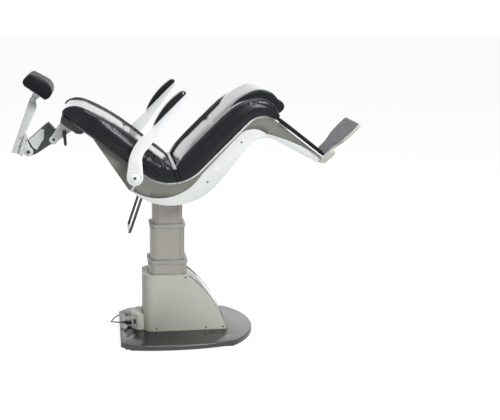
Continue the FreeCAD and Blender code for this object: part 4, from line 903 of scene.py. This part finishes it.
# Painted shadow: a black block just under the collar stands in for the collar's shadow on the middle stage.
COLLAR_SHADOW_BLOCK = ((-79, -62, 591), (15, 2.4, 17), -45)
block = bars("collar_shadow_block", "column_middle_stage", "black_plastic", [COLLAR_SHADOW_BLOCK])
round_edges(block, width=0.0006)
PANEL_SIDE = 100
SEAL = [(108, 347), (155, 307), (196, 260), (240, 205), (273, 149), (302, 93), (325, 34)]
for side, name, way in SIDES:
    line = [(Vector((x, side * PANEL_SIDE, z)) / 1000, Vector(way)) for x, z in SEAL]
    welt(f"panel_seal_{name}", line, "base", radius=0.0011, slot="black_plastic", sunk=0.0004)
print("covers, grooves and seals added")

# %% [markdown]
# ## Floor, light and air
#
# The studio is a pale floor that melts into a white background. The floor adds a little white of its own
# towards the camera and in reflections, so it stays white and keeps the chair's shadow. Large soft lamps
# give long highlights on the leathercloth.

# %% Build the studio
AIR_LIGHT = 0.27
FLOOR_GLOW = 0.85
FLOOR_GREY = (0.4, 0.4, 0.4, 1)
FLOOR_REACH = 40
WHITE = (1, 1, 1, 1)


def seen_directly(tree):
    """One where the camera, a reflection or clear material looks, nought where light only falls."""
    rays = add_node(tree, "ShaderNodeLightPath")
    seen = math_node(tree, "ADD", rays.outputs["Is Camera Ray"], rays.outputs["Is Glossy Ray"])
    return math_node(tree, "ADD", seen, rays.outputs["Is Transmission Ray"], True)


floor_shape = bmesh.new()
bmesh.ops.create_grid(floor_shape, x_segments=1, y_segments=1, size=FLOOR_REACH)
floor_mesh = bpy.data.meshes.new("studio_floor")
floor_shape.to_mesh(floor_mesh)
floor_shape.free()
floor = bpy.data.objects.new("studio_floor", floor_mesh)
bpy.context.scene.collection.objects.link(floor)

floor_finish = bpy.data.materials.new("studio_floor_white")
floor_finish.use_nodes = True
tree = floor_finish.node_tree
shader = tree.nodes["Principled BSDF"]
shader.inputs["Base Color"].default_value = FLOOR_GREY
shader.inputs["Roughness"].default_value = 0.9
shader.inputs["Specular IOR Level"].default_value = 0.0
shader.inputs["Emission Color"].default_value = WHITE
glow = math_node(tree, "MULTIPLY", seen_directly(tree), FLOOR_GLOW)
tree.links.new(glow, shader.inputs["Emission Strength"])
floor_mesh.materials.append(floor_finish)

world = bpy.data.worlds.new("studio_air")
bpy.context.scene.world = world
world.use_nodes = True
tree = world.node_tree
background = tree.nodes["Background"]
background.inputs["Color"].default_value = WHITE
tree.links.new(ramp(tree, seen_directly(tree), 0.0, 1.0, AIR_LIGHT, 1.0), background.inputs["Strength"])


def lamp(name, place, target, width, height, power):
    data = bpy.data.lights.new(name, "AREA")
    data.shape = "RECTANGLE"
    data.size, data.size_y, data.energy = width, height, power
    made = bpy.data.objects.new(name, data)
    bpy.context.scene.collection.objects.link(made)
    made.location = place
    made.rotation_euler = (Vector(target) - Vector(place)).to_track_quat("-Z", "Y").to_euler()
    return made


lamp("key_softbox", (1.5, -3.4, 3.3), (0, 0, 0.9), width=1.2, height=1.2, power=155)
lamp("top_softbox", (0.3, -0.3, 3.6), (0, 0, 1.0), width=2.6, height=0.8, power=60)
lamp("side_softbox", (-3.0, -2.4, 1.8), (0, 0, 0.9), width=1.0, height=2.0, power=9)
back_card = lamp("back_softbox", (0.3, 4.2, 1.7), (0.3, 0, 1.7), width=6.0, height=2.4, power=32)
back_card.visible_camera = False
bpy.context.scene.view_settings.view_transform = "Standard"
print("studio ready")
